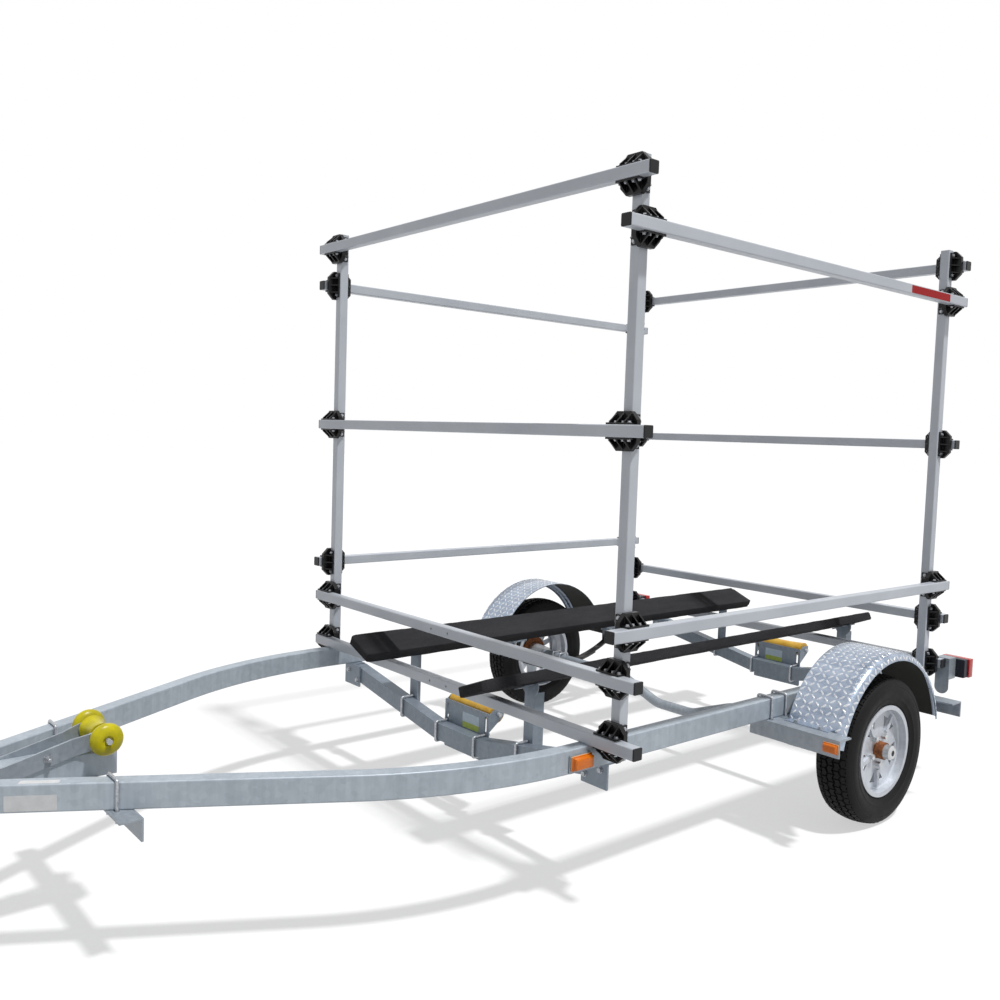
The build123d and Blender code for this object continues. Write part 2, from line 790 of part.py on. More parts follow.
# Shafts of the three rollers
with BuildPart() as roller_shafts:
    bow_shaft = bell_in + bell_width + 12
    with Locations(Plane((bow_x, 0, bow_height), z_dir=(0, 1, 0))):
        Cylinder(shaft_radius, 2 * bow_shaft)
    for name, member_x in members:
        axis_x = member_x - member_width / 2 - keel_plate - keel_axis_back
        with Locations(Plane((axis_x, 0, keel_axis_up), z_dir=(0, 1, 0))):
            Cylinder(shaft_radius, 2 * keel_plate_half + 24)
save(roller_shafts, "roller_shafts")

# Bunks: carpeted planks tilted towards the keel
for bunk_name, side in (("bunk_left", 1), ("bunk_right", -1)):
    tilt = radians(bunk_tilt)
    with BuildPart() as bunk:
        with BuildSketch(
            Plane((front_x + bunk_front, side * bunk_at, bunk_height),
                  x_dir=(0, side * cos(tilt), sin(tilt)), z_dir=(-1, 0, 0))
        ):
            RectangleRounded(bunk_width, bunk_thickness, bunk_corner)
        extrude(amount=bunk_front + bunk_tail)
    save(bunk, bunk_name)

# Bunk posts: an angle behind the cross member, with a half-round swivel head
post_rise = member_rise(bunk_at)
post_legs = (member_top + post_rise + u_off + 1, member_low + post_rise - u_off - 1)
post_low = post_legs[1] - post_drop
post_top = (
    bunk_height - (bunk_thickness / 2 + head_thickness) / cos(radians(bunk_tilt))
    - post_leg / 2 * tan(radians(bunk_tilt)) - post_clear
)
with BuildPart() as bunk_posts:
    for name, member_x in members:
        post_x = member_x - member_width / 2
        for side in (1, -1):
            with BuildSketch(Plane.XY.offset(post_low)):
                with BuildLine():
                    inner_y = side * (bunk_at - post_leg / 2)
                    outer_y = side * (bunk_at + post_leg / 2)
                    Polyline(
                        (post_x, inner_y), (post_x, outer_y), (post_x - post_leg, outer_y),
                        (post_x - post_leg, outer_y - side * post_wall),
                        (post_x - post_wall, outer_y - side * post_wall),
                        (post_x - post_wall, inner_y), close=True,
                    )
                make_face()
            extrude(amount=post_top - post_low)
            with Locations(*[
                Plane((post_x, side * bunk_at, leg_z), z_dir=(1, 0, 0)) for leg_z in post_legs
            ]):
                Cylinder(u_hole, 4 * post_wall, mode=Mode.SUBTRACT)
save(bunk_posts, "bunk_posts")

with BuildPart() as bunk_heads:
    for name, member_x in members:
        for side in (1, -1):
            tilt = radians(bunk_tilt)
            drop = bunk_thickness / 2
            seat = (side * (bunk_at + drop * sin(tilt)), bunk_height - drop * cos(tilt))
            with BuildSketch(
                Plane((member_x - member_width / 2, seat[0], seat[1]),
                      x_dir=(0, side * cos(tilt), sin(tilt)), z_dir=(side, 0, 0))
            ):
                with BuildLine():
                    half = head_radius
                    Line((-half, 0), (half, 0))
                    ThreePointArc((half, 0), (0, -half), (-half, 0))
                make_face()
            extrude(amount=side * head_thickness)
            with Locations(
                Plane((member_x - member_width / 2, seat[0], seat[1]),
                      x_dir=(1, 0, 0), z_dir=(0, -side * sin(tilt), cos(tilt)))
            ):
                Box(head_flange, head_width, head_thickness,
                    align=(Align.CENTER, Align.CENTER, Align.MAX))
save(bunk_heads, "bunk_heads")

# Axle tube, bowed down in the middle, with a spindle at each end
with BuildPart() as axle:
    with BuildLine() as axle_path:
        FilletPolyline(
            (axle_x, -axle_end, tyre_radius), (axle_x, -axle_dip_half, tyre_radius),
            (axle_x, -axle_dip_flat, tyre_radius - axle_dip), (axle_x, axle_dip_flat, tyre_radius - axle_dip),
            (axle_x, axle_dip_half, tyre_radius), (axle_x, axle_end, tyre_radius), radius=axle_bend,
        )
    with BuildSketch(Plane((axle_x, -axle_end, tyre_radius), x_dir=(1, 0, 0), z_dir=(0, 1, 0))):
        Circle(axle_radius)
    sweep(path=axle_path.wires()[0])
    for side in (1, -1):
        with Locations(Plane((axle_x, side * axle_end, tyre_radius), z_dir=(0, side, 0))):
            Cylinder(
                hub_bore - hub_fit, hub_out - axle_end - 2 * hub_end_wall, align=(Align.CENTER, Align.CENTER, Align.MIN)
            )
save(axle, "axle")

# Leaf springs below the axle, rolled into an eye at each end
seat_top = tyre_radius - axle_radius - spring_seat
sag = spring_eye_height - (seat_top - leaf_thickness / 2)
leaf_radius = (spring_half ** 2 + sag ** 2) / (2 * sag)
with BuildPart() as leaf_springs:
    for side in (1, -1):
        with BuildSketch(Plane.XZ.offset(-side * spring_at)):
            for leaf, share in enumerate(leaf_shares):
                reach = spring_half * share
                top = leaf_radius + leaf * leaf_thickness
                low = top + leaf_thickness
                centre_z = seat_top + leaf_radius
                with BuildLine():
                    turn = asin(reach / leaf_radius)
                    inner_tip = (top * sin(turn), centre_z - top * cos(turn))
                    outer_tip = (low * sin(turn), centre_z - low * cos(turn))
                    ThreePointArc(
                        (axle_x - inner_tip[0], inner_tip[1]), (axle_x, centre_z - top),
                        (axle_x + inner_tip[0], inner_tip[1]),
                    )
                    Line((axle_x + inner_tip[0], inner_tip[1]), (axle_x + outer_tip[0], outer_tip[1]))
                    ThreePointArc(
                        (axle_x + outer_tip[0], outer_tip[1]), (axle_x, centre_z - low),
                        (axle_x - outer_tip[0], outer_tip[1]),
                    )
                    Line((axle_x - outer_tip[0], outer_tip[1]), (axle_x - inner_tip[0], inner_tip[1]))
                make_face()
            with Locations((axle_x - spring_half, spring_eye_height), (axle_x + spring_half, spring_eye_height)):
                Circle(spring_eye)
                Circle(spring_bolt + spring_bolt_fit, mode=Mode.SUBTRACT)
        extrude(amount=spring_width / 2, both=True)
save(leaf_springs, "leaf_springs")

# Spring hangers under the rails, each with its bolt through the spring's eye
u_rail_y = (rail_outer + u_off, rail_inner - u_off)
with BuildPart() as spring_hangers:
    for end in (1, -1):
        eye_x = axle_x + end * spring_half
        for side in (1, -1):
            plate_x = eye_x + end * (hanger_front - hanger_length / 2)
            with Locations((plate_x, side * spring_at, rail_bottom - hanger_plate / 2)):
                Box(hanger_length, hanger_width, hanger_plate)
            cheek_y = spring_width / 2 + 1
            for face in (1, -1):
                near_y = side * spring_at + face * cheek_y
                with BuildSketch(Plane.XZ.offset(-near_y)):
                    with BuildLine():
                        Polyline(
                            (eye_x - 20, rail_bottom - hanger_plate),
                            (eye_x + 20, rail_bottom - hanger_plate),
                            (eye_x + 18, spring_eye_height - 16), (eye_x - 18, spring_eye_height - 16),
                            close=True,
                        )
                    make_face()
                extrude(amount=-face * hanger_cheek)
            with Locations(Plane((eye_x, side * spring_at, spring_eye_height), z_dir=(0, 1, 0))):
                Cylinder(spring_bolt, 2 * (cheek_y + hanger_cheek) + 16)
            with Locations(*[
                (eye_x - end * hanger_u, side * leg_y, rail_bottom) for leg_y in u_rail_y
            ]):
                Cylinder(u_hole, 4 * hanger_plate, mode=Mode.SUBTRACT)
save(spring_hangers, "spring_hangers")

# Spring seats: a saddle under the axle and a clamp plate under each spring
leaf_stack = leaf_thickness * len(leaf_shares)
axle_u_x = axle_radius + u_off
axle_u_y = spring_width / 2 + u_off
with BuildPart() as spring_seats:
    for side in (1, -1):
        with Locations((axle_x, side * spring_at, seat_top + seat_gap)):
            Box(seat_length * 0.5, spring_width, axle_radius,
                align=(Align.CENTER, Align.CENTER, Align.MIN))
        with Locations(Plane((axle_x, side * spring_at, tyre_radius), z_dir=(0, 1, 0))):
            Cylinder(axle_radius, 2 * spring_width, mode=Mode.SUBTRACT)
        plate_top = seat_top - leaf_stack
        with Locations((axle_x, side * spring_at, plate_top)):
            Box(seat_length, spring_width + 5 * u_off, seat_plate,
                align=(Align.CENTER, Align.CENTER, Align.MAX))
        with Locations(*[
            (axle_x + dx * axle_u_x, side * spring_at + dy * axle_u_y, plate_top)
            for dx in (1, -1) for dy in (1, -1)
        ]):
            Cylinder(u_hole, 4 * seat_plate, mode=Mode.SUBTRACT)
save(spring_seats, "spring_seats")

# Wheels: tyre, spoked rim and hub on each spindle
for wheel_name, side in (("left", 1), ("right", -1)):
    axis = Axis((axle_x, 0, tyre_radius), (0, 1, 0))
    mid = side * tyre_track
    half = tyre_width / 2
    with BuildPart() as tyre:
        with BuildSketch(Plane((axle_x, mid, tyre_radius), x_dir=(0, 1, 0), z_dir=(1, 0, 0))):
            with BuildLine():
                bead = rim_width / 2 - rim_sheet - bead_gap
                lip = rim_flange + 2
                shoulder = (half * 0.8, tyre_radius * 0.965)
                bulge = tyre_radius * 0.8
                seat = rim_bead + bead_gap
                cavity = (shoulder[0] - tyre_wall, shoulder[1] - tyre_wall)
                Line((bead, seat), (bead, lip))
                ThreePointArc((bead, lip), (half, bulge), shoulder)
                ThreePointArc(shoulder, (0, tyre_radius), (-shoulder[0], shoulder[1]))
                ThreePointArc((-shoulder[0], shoulder[1]), (-half, bulge), (-bead, lip))
                Line((-bead, lip), (-bead, seat))
                Line((-bead, seat), (tyre_wall - bead, seat))
                ThreePointArc((tyre_wall - bead, seat), (tyre_wall - half, bulge), (-cavity[0], cavity[1]))
                ThreePointArc((-cavity[0], cavity[1]), (0, tyre_radius - tyre_wall), cavity)
                ThreePointArc(cavity, (half - tyre_wall, bulge), (bead - tyre_wall, seat))
                Line((bead - tyre_wall, seat), (bead, seat))
            make_face()
        revolve(axis=axis)
    save(tyre, f"tyre_{wheel_name}")

    disc_y = side * disc_face
    with BuildPart() as rim:
        with BuildSketch(Plane((axle_x, mid, tyre_radius), x_dir=(0, side, 0), z_dir=(side, 0, 0))):
            with BuildLine():
                edge = rim_width / 2
                Polyline(
                    (-edge, rim_flange), (-edge + rim_sheet, rim_flange), (-edge + rim_sheet, rim_bead),
                    (-edge + 30, rim_bead - 1), (-edge + 42, rim_well), (edge - 46, rim_well),
                    (edge - 30, rim_bead - 1), (edge - rim_sheet, rim_bead), (edge - rim_sheet, rim_flange),
                    (edge, rim_flange), (edge, rim_bead - rim_sheet), (edge - 28, rim_bead - rim_sheet - 1),
                    (edge - 44, rim_well - rim_sheet), (-edge + 40, rim_well - rim_sheet),
                    (-edge + 28, rim_bead - rim_sheet - 1), (-edge, rim_bead - rim_sheet), close=True,
                )
            make_face()
        revolve(axis=axis)
        # Disc with raised spokes and a pair of windows beside each
        with BuildSketch(Plane((axle_x, disc_y, tyre_radius), x_dir=(1, 0, 0), z_dir=(0, side, 0))):
            Circle(disc_radius)
            Circle(hub_nose + 1.5, mode=Mode.SUBTRACT)
            with PolarLocations(0, spoke_count, start_angle=spoke_start):
                for turn in (1, -1):
                    Polygon(
                        (window_in, turn * 15), (window_out + 6, turn * 13), (window_out, turn * 48),
                        align=None, mode=Mode.SUBTRACT,
                    )
            with PolarLocations(lug_circle, spoke_count, start_angle=spoke_start):
                Circle(stud_radius + 0.5, mode=Mode.SUBTRACT)
        extrude(amount=-disc_sheet)
        with BuildSketch(Plane((axle_x, disc_y, tyre_radius), x_dir=(1, 0, 0), z_dir=(0, side, 0))):
            with PolarLocations(0, spoke_count, start_angle=spoke_start):
                Polygon((window_in - 4, 9), (disc_radius - 4, 6), (disc_radius - 4, -6), (window_in - 4, -9),
                        align=None)
        extrude(amount=spoke_rise)
    save(rim, f"rim_{wheel_name}")

    with BuildPart() as hub:
        flange_out = disc_face - disc_sheet
        with BuildSketch(Plane((axle_x, 0, tyre_radius), x_dir=(0, side, 0), z_dir=(side, 0, 0))):
            with BuildLine():
                Polyline(
                    (hub_inner, hub_bore), (hub_inner, hub_barrel),
                    (flange_out - hub_flange_thickness, hub_barrel + 6),
                    (flange_out - hub_flange_thickness, hub_flange), (flange_out, hub_flange),
                    (flange_out, hub_nose), (hub_out, hub_nose), (hub_out, cap_radius),
                    (hub_out + cap_length - 5, cap_radius), (hub_out + cap_length, cap_radius - 6),
                    (hub_out + cap_length, 0), (hub_out - hub_end_wall, 0), (hub_out - hub_end_wall, hub_bore),
                    close=True,
                )
            make_face()
        revolve(axis=axis)
        with BuildSketch(Plane((axle_x, side * flange_out, tyre_radius), x_dir=(1, 0, 0), z_dir=(0, side, 0))):
            with PolarLocations(lug_circle, spoke_count, start_angle=spoke_start):
                Circle(stud_radius)
        extrude(amount=disc_sheet)
        with BuildSketch(Plane((axle_x, disc_y, tyre_radius), x_dir=(1, 0, 0), z_dir=(0, side, 0))):
            with PolarLocations(lug_circle, spoke_count, start_angle=spoke_start):
                RegularPolygon(lug_radius, 6)
        extrude(amount=lug_length)
    save(hub, f"hub_{wheel_name}")

# Fenders: an arch with a rolled outer edge, on a foot at each end
fender_start = radians(fender_low_angle)
foot_x = sqrt((fender_radius - fender_sheet / 2) ** 2 - (rail_bottom - tyre_radius) ** 2)
fender_leg_at = spring_half + hanger_front + fender_leg_gap + fender_leg
fender_tab = fender_leg_at - fender_leg + fender_lap - foot_x
foot_in = fender_inner + 8
foot_out = fender_outer - fender_roll - 4
with BuildPart() as fender_left:
    with BuildSketch(
        Plane((axle_x, 0, tyre_radius), x_dir=(0, 1, 0), z_dir=(sin(fender_start), 0, -cos(fender_start)))
    ):
        with BuildLine():
            roll_at = (fender_outer - fender_roll, fender_radius - fender_roll)
            Line((fender_inner, fender_radius), (roll_at[0], fender_radius))
            CenterArc(roll_at, fender_roll, 90, -90)
            Line((fender_outer, roll_at[1]), (fender_outer - fender_sheet, roll_at[1]))
            CenterArc(roll_at, fender_roll - fender_sheet, 0, 90)
            Line((roll_at[0], fender_radius - fender_sheet), (fender_inner, fender_radius - fender_sheet))
            Line((fender_inner, fender_radius - fender_sheet), (fender_inner, fender_radius))
        make_face()
    revolve(
        axis=Axis((axle_x, 0, tyre_radius), (0, -1, 0)), revolution_arc=180 - 2 * fender_low_angle
    )
    for end in (1, -1):
        with Locations((axle_x + end * (foot_x + fender_tab / 2), (foot_in + foot_out) / 2,
                        rail_bottom + fender_sheet / 2)):
            Box(fender_tab, foot_out - foot_in, fender_sheet)
save(fender_left, "fender_left")

with BuildPart() as fender_right:
    mirror(fender_left.part, about=Plane.XZ)
save(fender_right, "fender_right")

# Angles that carry the fenders, under the rails
fender_u_x = fender_leg_at - fender_leg / 3
with BuildPart() as fender_brackets:
    for side in (1, -1):
        for end in (1, -1):
            with BuildSketch(Plane.XZ.offset(-side * fender_leg_inner)):
                with BuildLine():
                    front = axle_x + end * fender_leg_at
                    back = axle_x + end * (fender_leg_at - fender_leg)
                    inside = front - end * fender_leg_thickness
                    Polyline(
                        (back, rail_bottom), (front, rail_bottom), (front, rail_bottom - fender_leg_down),
                        (inside, rail_bottom - fender_leg_down), (inside, rail_bottom - fender_leg_thickness),
                        (back, rail_bottom - fender_leg_thickness), close=True,
                    )
                make_face()
            extrude(amount=-side * (fender_leg_end - fender_leg_inner))
            with Locations(*[
                (axle_x + end * fender_u_x, side * leg_y, rail_bottom) for leg_y in u_rail_y
            ]):
                Cylinder(u_hole, 4 * fender_leg_thickness, mode=Mode.SUBTRACT)
save(fender_brackets, "fender_brackets")

# U-bolts: round the rails, the cross members and the axle
u_top = rail_top + u_off
u_paths = []
for side in (1, -1):
    outer_leg, inner_leg = side * u_rail_y[0], side * u_rail_y[1]
    for end in (1, -1):
        eye_x = axle_x + end * spring_half
        for bolt_x, plate in (
            (axle_x + end * fender_u_x, fender_leg_thickness), (eye_x - end * hanger_u, hanger_plate)
        ):
            low = rail_bottom - plate - u_tail
            u_paths.append((
                (bolt_x, outer_leg, low), (bolt_x, outer_leg, u_top), (bolt_x, inner_leg, u_top),
                (bolt_x, inner_leg, low),
            ))
    low = rail_bottom - brace_thickness - u_tail
    u_paths.append((
        (brace_u_x, side * brace_legs[0], low), (brace_u_x, side * brace_legs[0], u_top),
        (brace_u_x, side * brace_legs[1], u_top), (brace_u_x, side * brace_legs[1], low),
    ))
    for name, member_x in members:
        nose = member_x + member_width / 2 + u_off
        for bolt_y, legs, plate in (
            (side * keel_slot_at, keel_legs, keel_plate), (side * bunk_at, post_legs, post_wall)
        ):
            tail = member_x - member_width / 2 - plate - u_tail / 2
            u_paths.append((
                (tail, bolt_y, legs[0]), (nose, bolt_y, legs[0]), (nose, bolt_y, legs[1]),
                (tail, bolt_y, legs[1]),
            ))
    for across in (1, -1):
        bolt_y = side * spring_at + across * axle_u_y
        low = seat_top - leaf_stack - seat_plate - u_tail / 2
        top = tyre_radius + axle_radius + u_off
        u_paths.append((
            (axle_x - axle_u_x, bolt_y, low), (axle_x - axle_u_x, bolt_y, top),
            (axle_x + axle_u_x, bolt_y, top), (axle_x + axle_u_x, bolt_y, low),
        ))

with BuildPart() as u_bolts:
    for points in u_paths:
        with BuildLine():
            FilletPolyline(*points, radius=u_bend)
        with BuildSketch(Plane(points[0], z_dir=Vector(*points[1]) - Vector(*points[0]))):
            Circle(u_bolt)
        sweep()
save(u_bolts, "u_bolts")

# Amber lamps: one on each rail ahead of the rack, one on each front fender bracket
marker_x = front_x + marker_at + marker_length / 2
marker_z = rail_bottom + rail_height * 0.46
with BuildPart() as marker_plates:
    for side in (1, -1):
        with Locations((marker_x, side * (rail_outer + marker_plate / 2), marker_z - 3)):
            Box(marker_length + 6, marker_plate, marker_height + 12)
save(marker_plates, "marker_plates")

with BuildPart() as marker_lamps:
    for side in (1, -1):
        with Locations((marker_x, side * (rail_outer + marker_plate + marker_depth / 2), marker_z)):
            Box(marker_length, marker_depth, marker_height)
        with Locations((axle_x + fender_leg_at + side_lamp_depth / 2,
                        side * (fender_leg_end - side_lamp_width / 2 - 2),
                        rail_bottom - fender_leg_down / 2)):
            Box(side_lamp_depth, side_lamp_width, side_lamp_height)
save(marker_lamps, "marker_lamps")

# Tail lamps on folded brackets behind the lowest rear cross bar
tail_x = rear_x - bar_offset - tube / 2
tail_mid = tail_inner + tail_box_width / 2
with BuildPart() as tail_lamp_brackets:
    for side in (1, -1):
        with BuildSketch(Plane((tail_x, side * tail_mid, tail_low), x_dir=(0, -1, 0), z_dir=(-1, 0, 0))):
            with Locations((0, tail_box_height / 2)):
                Rectangle(tail_box_width, tail_box_height)
            with Locations((0, -tail_tab / 4)):
                Rectangle(tail_box_width, tail_tab / 2)
            with Locations((0, -tail_tab / 2)):
                Circle(tail_box_width / 2)
        extrude(amount=tail_box_sheet)
        with BuildSketch(Plane((tail_x, side * tail_mid, tail_low), x_dir=(0, -1, 0), z_dir=(-1, 0, 0))):
            with Locations((0, tail_box_height / 2)):
                Rectangle(tail_box_width, tail_box_height)
                Rectangle(
                    tail_box_width - 2 * tail_box_sheet, tail_box_height - 2 * tail_box_sheet,
                    mode=Mode.SUBTRACT,
                )
        extrude(amount=tail_box_length)
save(tail_lamp_brackets, "tail_lamp_brackets")

lamp_z = tail_low + tail_box_height / 2
lamp_y = tail_mid + (tail_lamp_width - tail_box_width) / 4
with BuildPart() as tail_lamp_housings:
    for side in (1, -1):
        with Locations((tail_x - tail_box_length - tail_housing / 2, side * lamp_y, lamp_z)):
            Box(tail_housing, tail_lamp_width - 12, tail_lamp_height)
save(tail_lamp_housings, "tail_lamp_housings")

with BuildPart() as tail_lamp_lenses:
    for side in (1, -1):
        with Locations((tail_x - tail_box_length - tail_housing - tail_lens / 2, side * lamp_y, lamp_z)):
            Box(tail_lens, tail_lamp_width, tail_lamp_height)
save(tail_lamp_lenses, "tail_lamp_lenses")
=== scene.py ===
"""Looks of a boat trailer with a four-post rack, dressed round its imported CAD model."""
import json
import math

import bpy
from mathutils import Matrix, Vector


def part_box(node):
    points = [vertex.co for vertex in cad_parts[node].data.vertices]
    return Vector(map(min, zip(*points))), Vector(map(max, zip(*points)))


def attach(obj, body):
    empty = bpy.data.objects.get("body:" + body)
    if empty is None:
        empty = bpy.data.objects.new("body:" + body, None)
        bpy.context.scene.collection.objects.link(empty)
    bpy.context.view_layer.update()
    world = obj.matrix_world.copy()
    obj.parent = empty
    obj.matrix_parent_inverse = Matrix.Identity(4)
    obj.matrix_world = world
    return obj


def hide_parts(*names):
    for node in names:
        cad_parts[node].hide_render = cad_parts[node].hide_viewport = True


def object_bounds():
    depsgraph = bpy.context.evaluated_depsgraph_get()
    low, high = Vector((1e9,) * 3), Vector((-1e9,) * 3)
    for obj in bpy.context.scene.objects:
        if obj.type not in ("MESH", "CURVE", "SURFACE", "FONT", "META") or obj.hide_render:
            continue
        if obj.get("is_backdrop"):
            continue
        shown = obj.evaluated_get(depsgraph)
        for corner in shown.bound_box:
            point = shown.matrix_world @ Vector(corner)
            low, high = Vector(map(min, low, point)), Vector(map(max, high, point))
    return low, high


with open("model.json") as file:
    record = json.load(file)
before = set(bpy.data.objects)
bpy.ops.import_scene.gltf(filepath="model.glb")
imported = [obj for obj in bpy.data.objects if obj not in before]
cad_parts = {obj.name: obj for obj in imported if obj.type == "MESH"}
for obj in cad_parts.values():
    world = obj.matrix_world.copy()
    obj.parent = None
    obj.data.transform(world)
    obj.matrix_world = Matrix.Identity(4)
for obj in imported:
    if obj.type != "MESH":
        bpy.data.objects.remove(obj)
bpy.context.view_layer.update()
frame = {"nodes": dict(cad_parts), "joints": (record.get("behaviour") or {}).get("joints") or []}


# Galvanised frame: the rails, tongue, cross members and brackets are mild steel dipped in zinc.
# The zinc freezes in pale spangles, runs down the sides in streaks and dulls to a cloudy blue-grey.
def shader_node(tree, kind, sockets=None, **settings):
    """Add one shader node. Settings are its own properties, sockets its inputs, plain or linked."""
    node = tree.nodes.new(kind)
    for name, value in settings.items():
        setattr(node, name, value)
    for name, value in (sockets or {}).items():
        if isinstance(value, bpy.types.NodeSocket):
            tree.links.new(value, node.inputs[name])
        else:
            node.inputs[name].default_value = value
    return node


def sums(tree, operation, first, second, clamp=False):
    """The result of one sum on two values."""
    return shader_node(
        tree, "ShaderNodeMath", {0: first, 1: second}, operation=operation, use_clamp=clamp
    ).outputs[0]


def noise(tree, place, scale, detail=4.0, roughness=0.55):
    """Noise from 0 to 1 at a place."""
    return shader_node(
        tree, "ShaderNodeTexNoise",
        {"Vector": place, "Scale": scale, "Detail": detail, "Roughness": roughness},
    ).outputs["Fac"]


def stretched(tree, place, scale):
    """A place drawn out along some axes."""
    return shader_node(tree, "ShaderNodeMapping", {"Vector": place, "Scale": scale}).outputs[0]


def spread(tree, value, low, high, to_low=0.0, to_high=1.0):
    """A value's range drawn out to another range."""
    return shader_node(tree, "ShaderNodeMapRange", {
        "Value": value, "From Min": low, "From Max": high, "To Min": to_low, "To Max": to_high,
    }).outputs[0]


def tint(tree, share, first, second, blend="MIX"):
    """A colour between two colours."""
    return shader_node(
        tree, "ShaderNodeMix", {0: share, 6: first, 7: second}, data_type="RGBA", blend_type=blend
    ).outputs[2]


def relief(tree, height, strength, distance):
    """The normal of a surface raised by a height in metres."""
    return shader_node(
        tree, "ShaderNodeBump", {"Height": height, "Strength": strength, "Distance": distance}
    ).outputs[0]


def new_finish(name, **plain):
    """A new material and its node tree and shader, with the shader's plain values set."""
    finish = bpy.data.materials.new(name)
    finish.use_nodes = True
    shader = finish.node_tree.nodes["Principled BSDF"]
    for socket, value in plain.items():
        shader.inputs[socket.replace("_", " ")].default_value = value
    return finish, finish.node_tree, shader


def new_group(name, inlets, outlets):
    """A new shader node group with its inlet and outlet nodes."""
    group = bpy.data.node_groups.new(name, "ShaderNodeTree")
    for label, default in inlets:
        kind = "NodeSocketColor" if isinstance(default, tuple) else "NodeSocketFloat"
        group.interface.new_socket(label, in_out="INPUT", socket_type=kind).default_value = default
    for label, kind in outlets:
        group.interface.new_socket(label, in_out="OUTPUT", socket_type=kind)
    return group, group.nodes.new("NodeGroupInput"), group.nodes.new("NodeGroupOutput")


def object_place(tree):
    """Each point's place on the object, in metres."""
    return shader_node(tree, "ShaderNodeTexCoord").outputs["Object"]


zinc_bloom, inlet, outlet = new_group(
    "zinc_bloom", (("Spangle", 48.0), ("Streak", 0.35)),
    (("Tone", "NodeSocketFloat"), ("Roughness", "NodeSocketFloat"), ("Height", "NodeSocketFloat")),
)
place = object_place(zinc_bloom)
spangle = shader_node(
    zinc_bloom, "ShaderNodeTexVoronoi", {"Vector": place, "Scale": inlet.outputs["Spangle"]}
)
spangle_tone = shader_node(
    zinc_bloom, "ShaderNodeSeparateColor", {"Color": spangle.outputs["Color"]}
).outputs[0]
cloud = spread(zinc_bloom, noise(zinc_bloom, place, 5.0, 7.0), 0.3, 0.7)
runs = spread(
    zinc_bloom, noise(zinc_bloom, stretched(zinc_bloom, place, (60.0, 60.0, 4.0)), 1.0, 4.0), 0.35, 0.7
)
run_tone = sums(zinc_bloom, "MULTIPLY", runs, inlet.outputs["Streak"])
tone = sums(zinc_bloom, "ADD", sums(zinc_bloom, "MULTIPLY", cloud, 0.38), run_tone)
tone = sums(zinc_bloom, "ADD", tone, sums(zinc_bloom, "MULTIPLY", spangle_tone, 0.28), clamp=True)
grit = noise(zinc_bloom, place, 420.0, 3.0)
lumps = sums(zinc_bloom, "ADD", sums(zinc_bloom, "MULTIPLY", spangle_tone, 0.35), grit)
zinc_bloom.links.new(tone, outlet.inputs["Tone"])
zinc_bloom.links.new(spread(zinc_bloom, tone, 0.0, 1.0, 0.36, 0.56), outlet.inputs["Roughness"])
zinc_bloom.links.new(lumps, outlet.inputs["Height"])


def galvanised(name, dark, pale, spangle_scale, streak, metal):
    """Zinc in two tones of grey."""
    finish, tree, shader = new_finish(name, Metallic=metal)
    bloom = shader_node(tree, "ShaderNodeGroup", node_tree=zinc_bloom)
    bloom.inputs["Spangle"].default_value = spangle_scale
    bloom.inputs["Streak"].default_value = streak
    tree.links.new(tint(tree, bloom.outputs["Tone"], dark, pale), shader.inputs["Base Color"])
    tree.links.new(bloom.outputs["Roughness"], shader.inputs["Roughness"])
    tree.links.new(relief(tree, bloom.outputs["Height"], 0.2, 0.0006), shader.inputs["Normal"])
    return finish


def dress(finish, *names):
    """Give CAD pieces a finish."""
    for name in names:
        frame["nodes"][name].data.materials.clear()
        frame["nodes"][name].data.materials.append(finish)


def ease_edges(width, *names):
    """Round the sharp edges of CAD pieces a little, so that they catch the light."""
    for name in names:
        piece = frame["nodes"][name]
        weld = piece.modifiers.new("weld", "WELD")
        weld.merge_threshold = 1e-5
        bevel = piece.modifiers.new("ease", "BEVEL")
        bevel.width = width
        bevel.segments = 2
        bevel.limit_method = "ANGLE"
        bevel.angle_limit = math.radians(40)
        bevel.harden_normals = True


rail_zinc = galvanised(
    "rail_zinc", (0.33, 0.38, 0.43, 1), (0.53, 0.59, 0.65, 1), 60.0, 0.3, 0.2
)
fitting_zinc = galvanised(
    "fitting_zinc", (0.25, 0.285, 0.325, 1), (0.43, 0.47, 0.515, 1), 75.0, 0.25, 0.35
)
# The cross members, their brackets, the bunk posts and heads, the spring hangers and the keel brackets sit
# under the bunks and rails. They get a darker copy of the fitting zinc, and the extra darkness is painted
# shade.
shaded_member_zinc = galvanised(
    "shaded_member_zinc", (0.17, 0.205, 0.25, 1), (0.31, 0.355, 0.41, 1), 75.0, 0.25, 0.35
)
dress(rail_zinc, "rail_left", "rail_right", "tongue_tube")
dress(
    fitting_zinc, "front_brace", "bow_arms", "fender_brackets", "spring_seats", "tail_lamp_brackets",
    "marker_plates", "axle",
)
dress(
    shaded_member_zinc, "crossmember_front", "crossmember_rear", "crossmember_brackets", "bunk_posts",
    "bunk_heads", "spring_hangers", "keel_bracket_front", "keel_bracket_rear",
)
ease_edges(
    0.0012, "front_brace", "bow_arms", "bunk_posts", "fender_brackets", "crossmember_brackets",
    "tail_lamp_brackets", "marker_plates",
)


# U-bolts: zinc-plated rods bent square, which clamp the angles, hangers, posts and keel brackets to the
# frame. Two hexagon nuts on washers draw each one down.
rod_radius = 0.00475
long_tail = 0.026
short_tail = 0.013
axle_reach = 0.1
spin_points = {joint["child"]: Vector(joint["pos_m"]) for joint in frame["joints"] if "pos_m" in joint}
axle_at = spin_points["wheel_left"]


def deselect():
    """Leave nothing selected."""
    bpy.ops.object.select_all(action="DESELECT")


def pick(piece):
    """Select one piece alone."""
    deselect()
    piece.select_set(True)
    bpy.context.view_layer.objects.active = piece


def edit(piece=None):
    """Open the piece in hand for editing, all of it selected."""
    if piece:
        pick(piece)
    bpy.ops.object.mode_set(mode="EDIT")
    bpy.ops.mesh.select_all(action="SELECT")


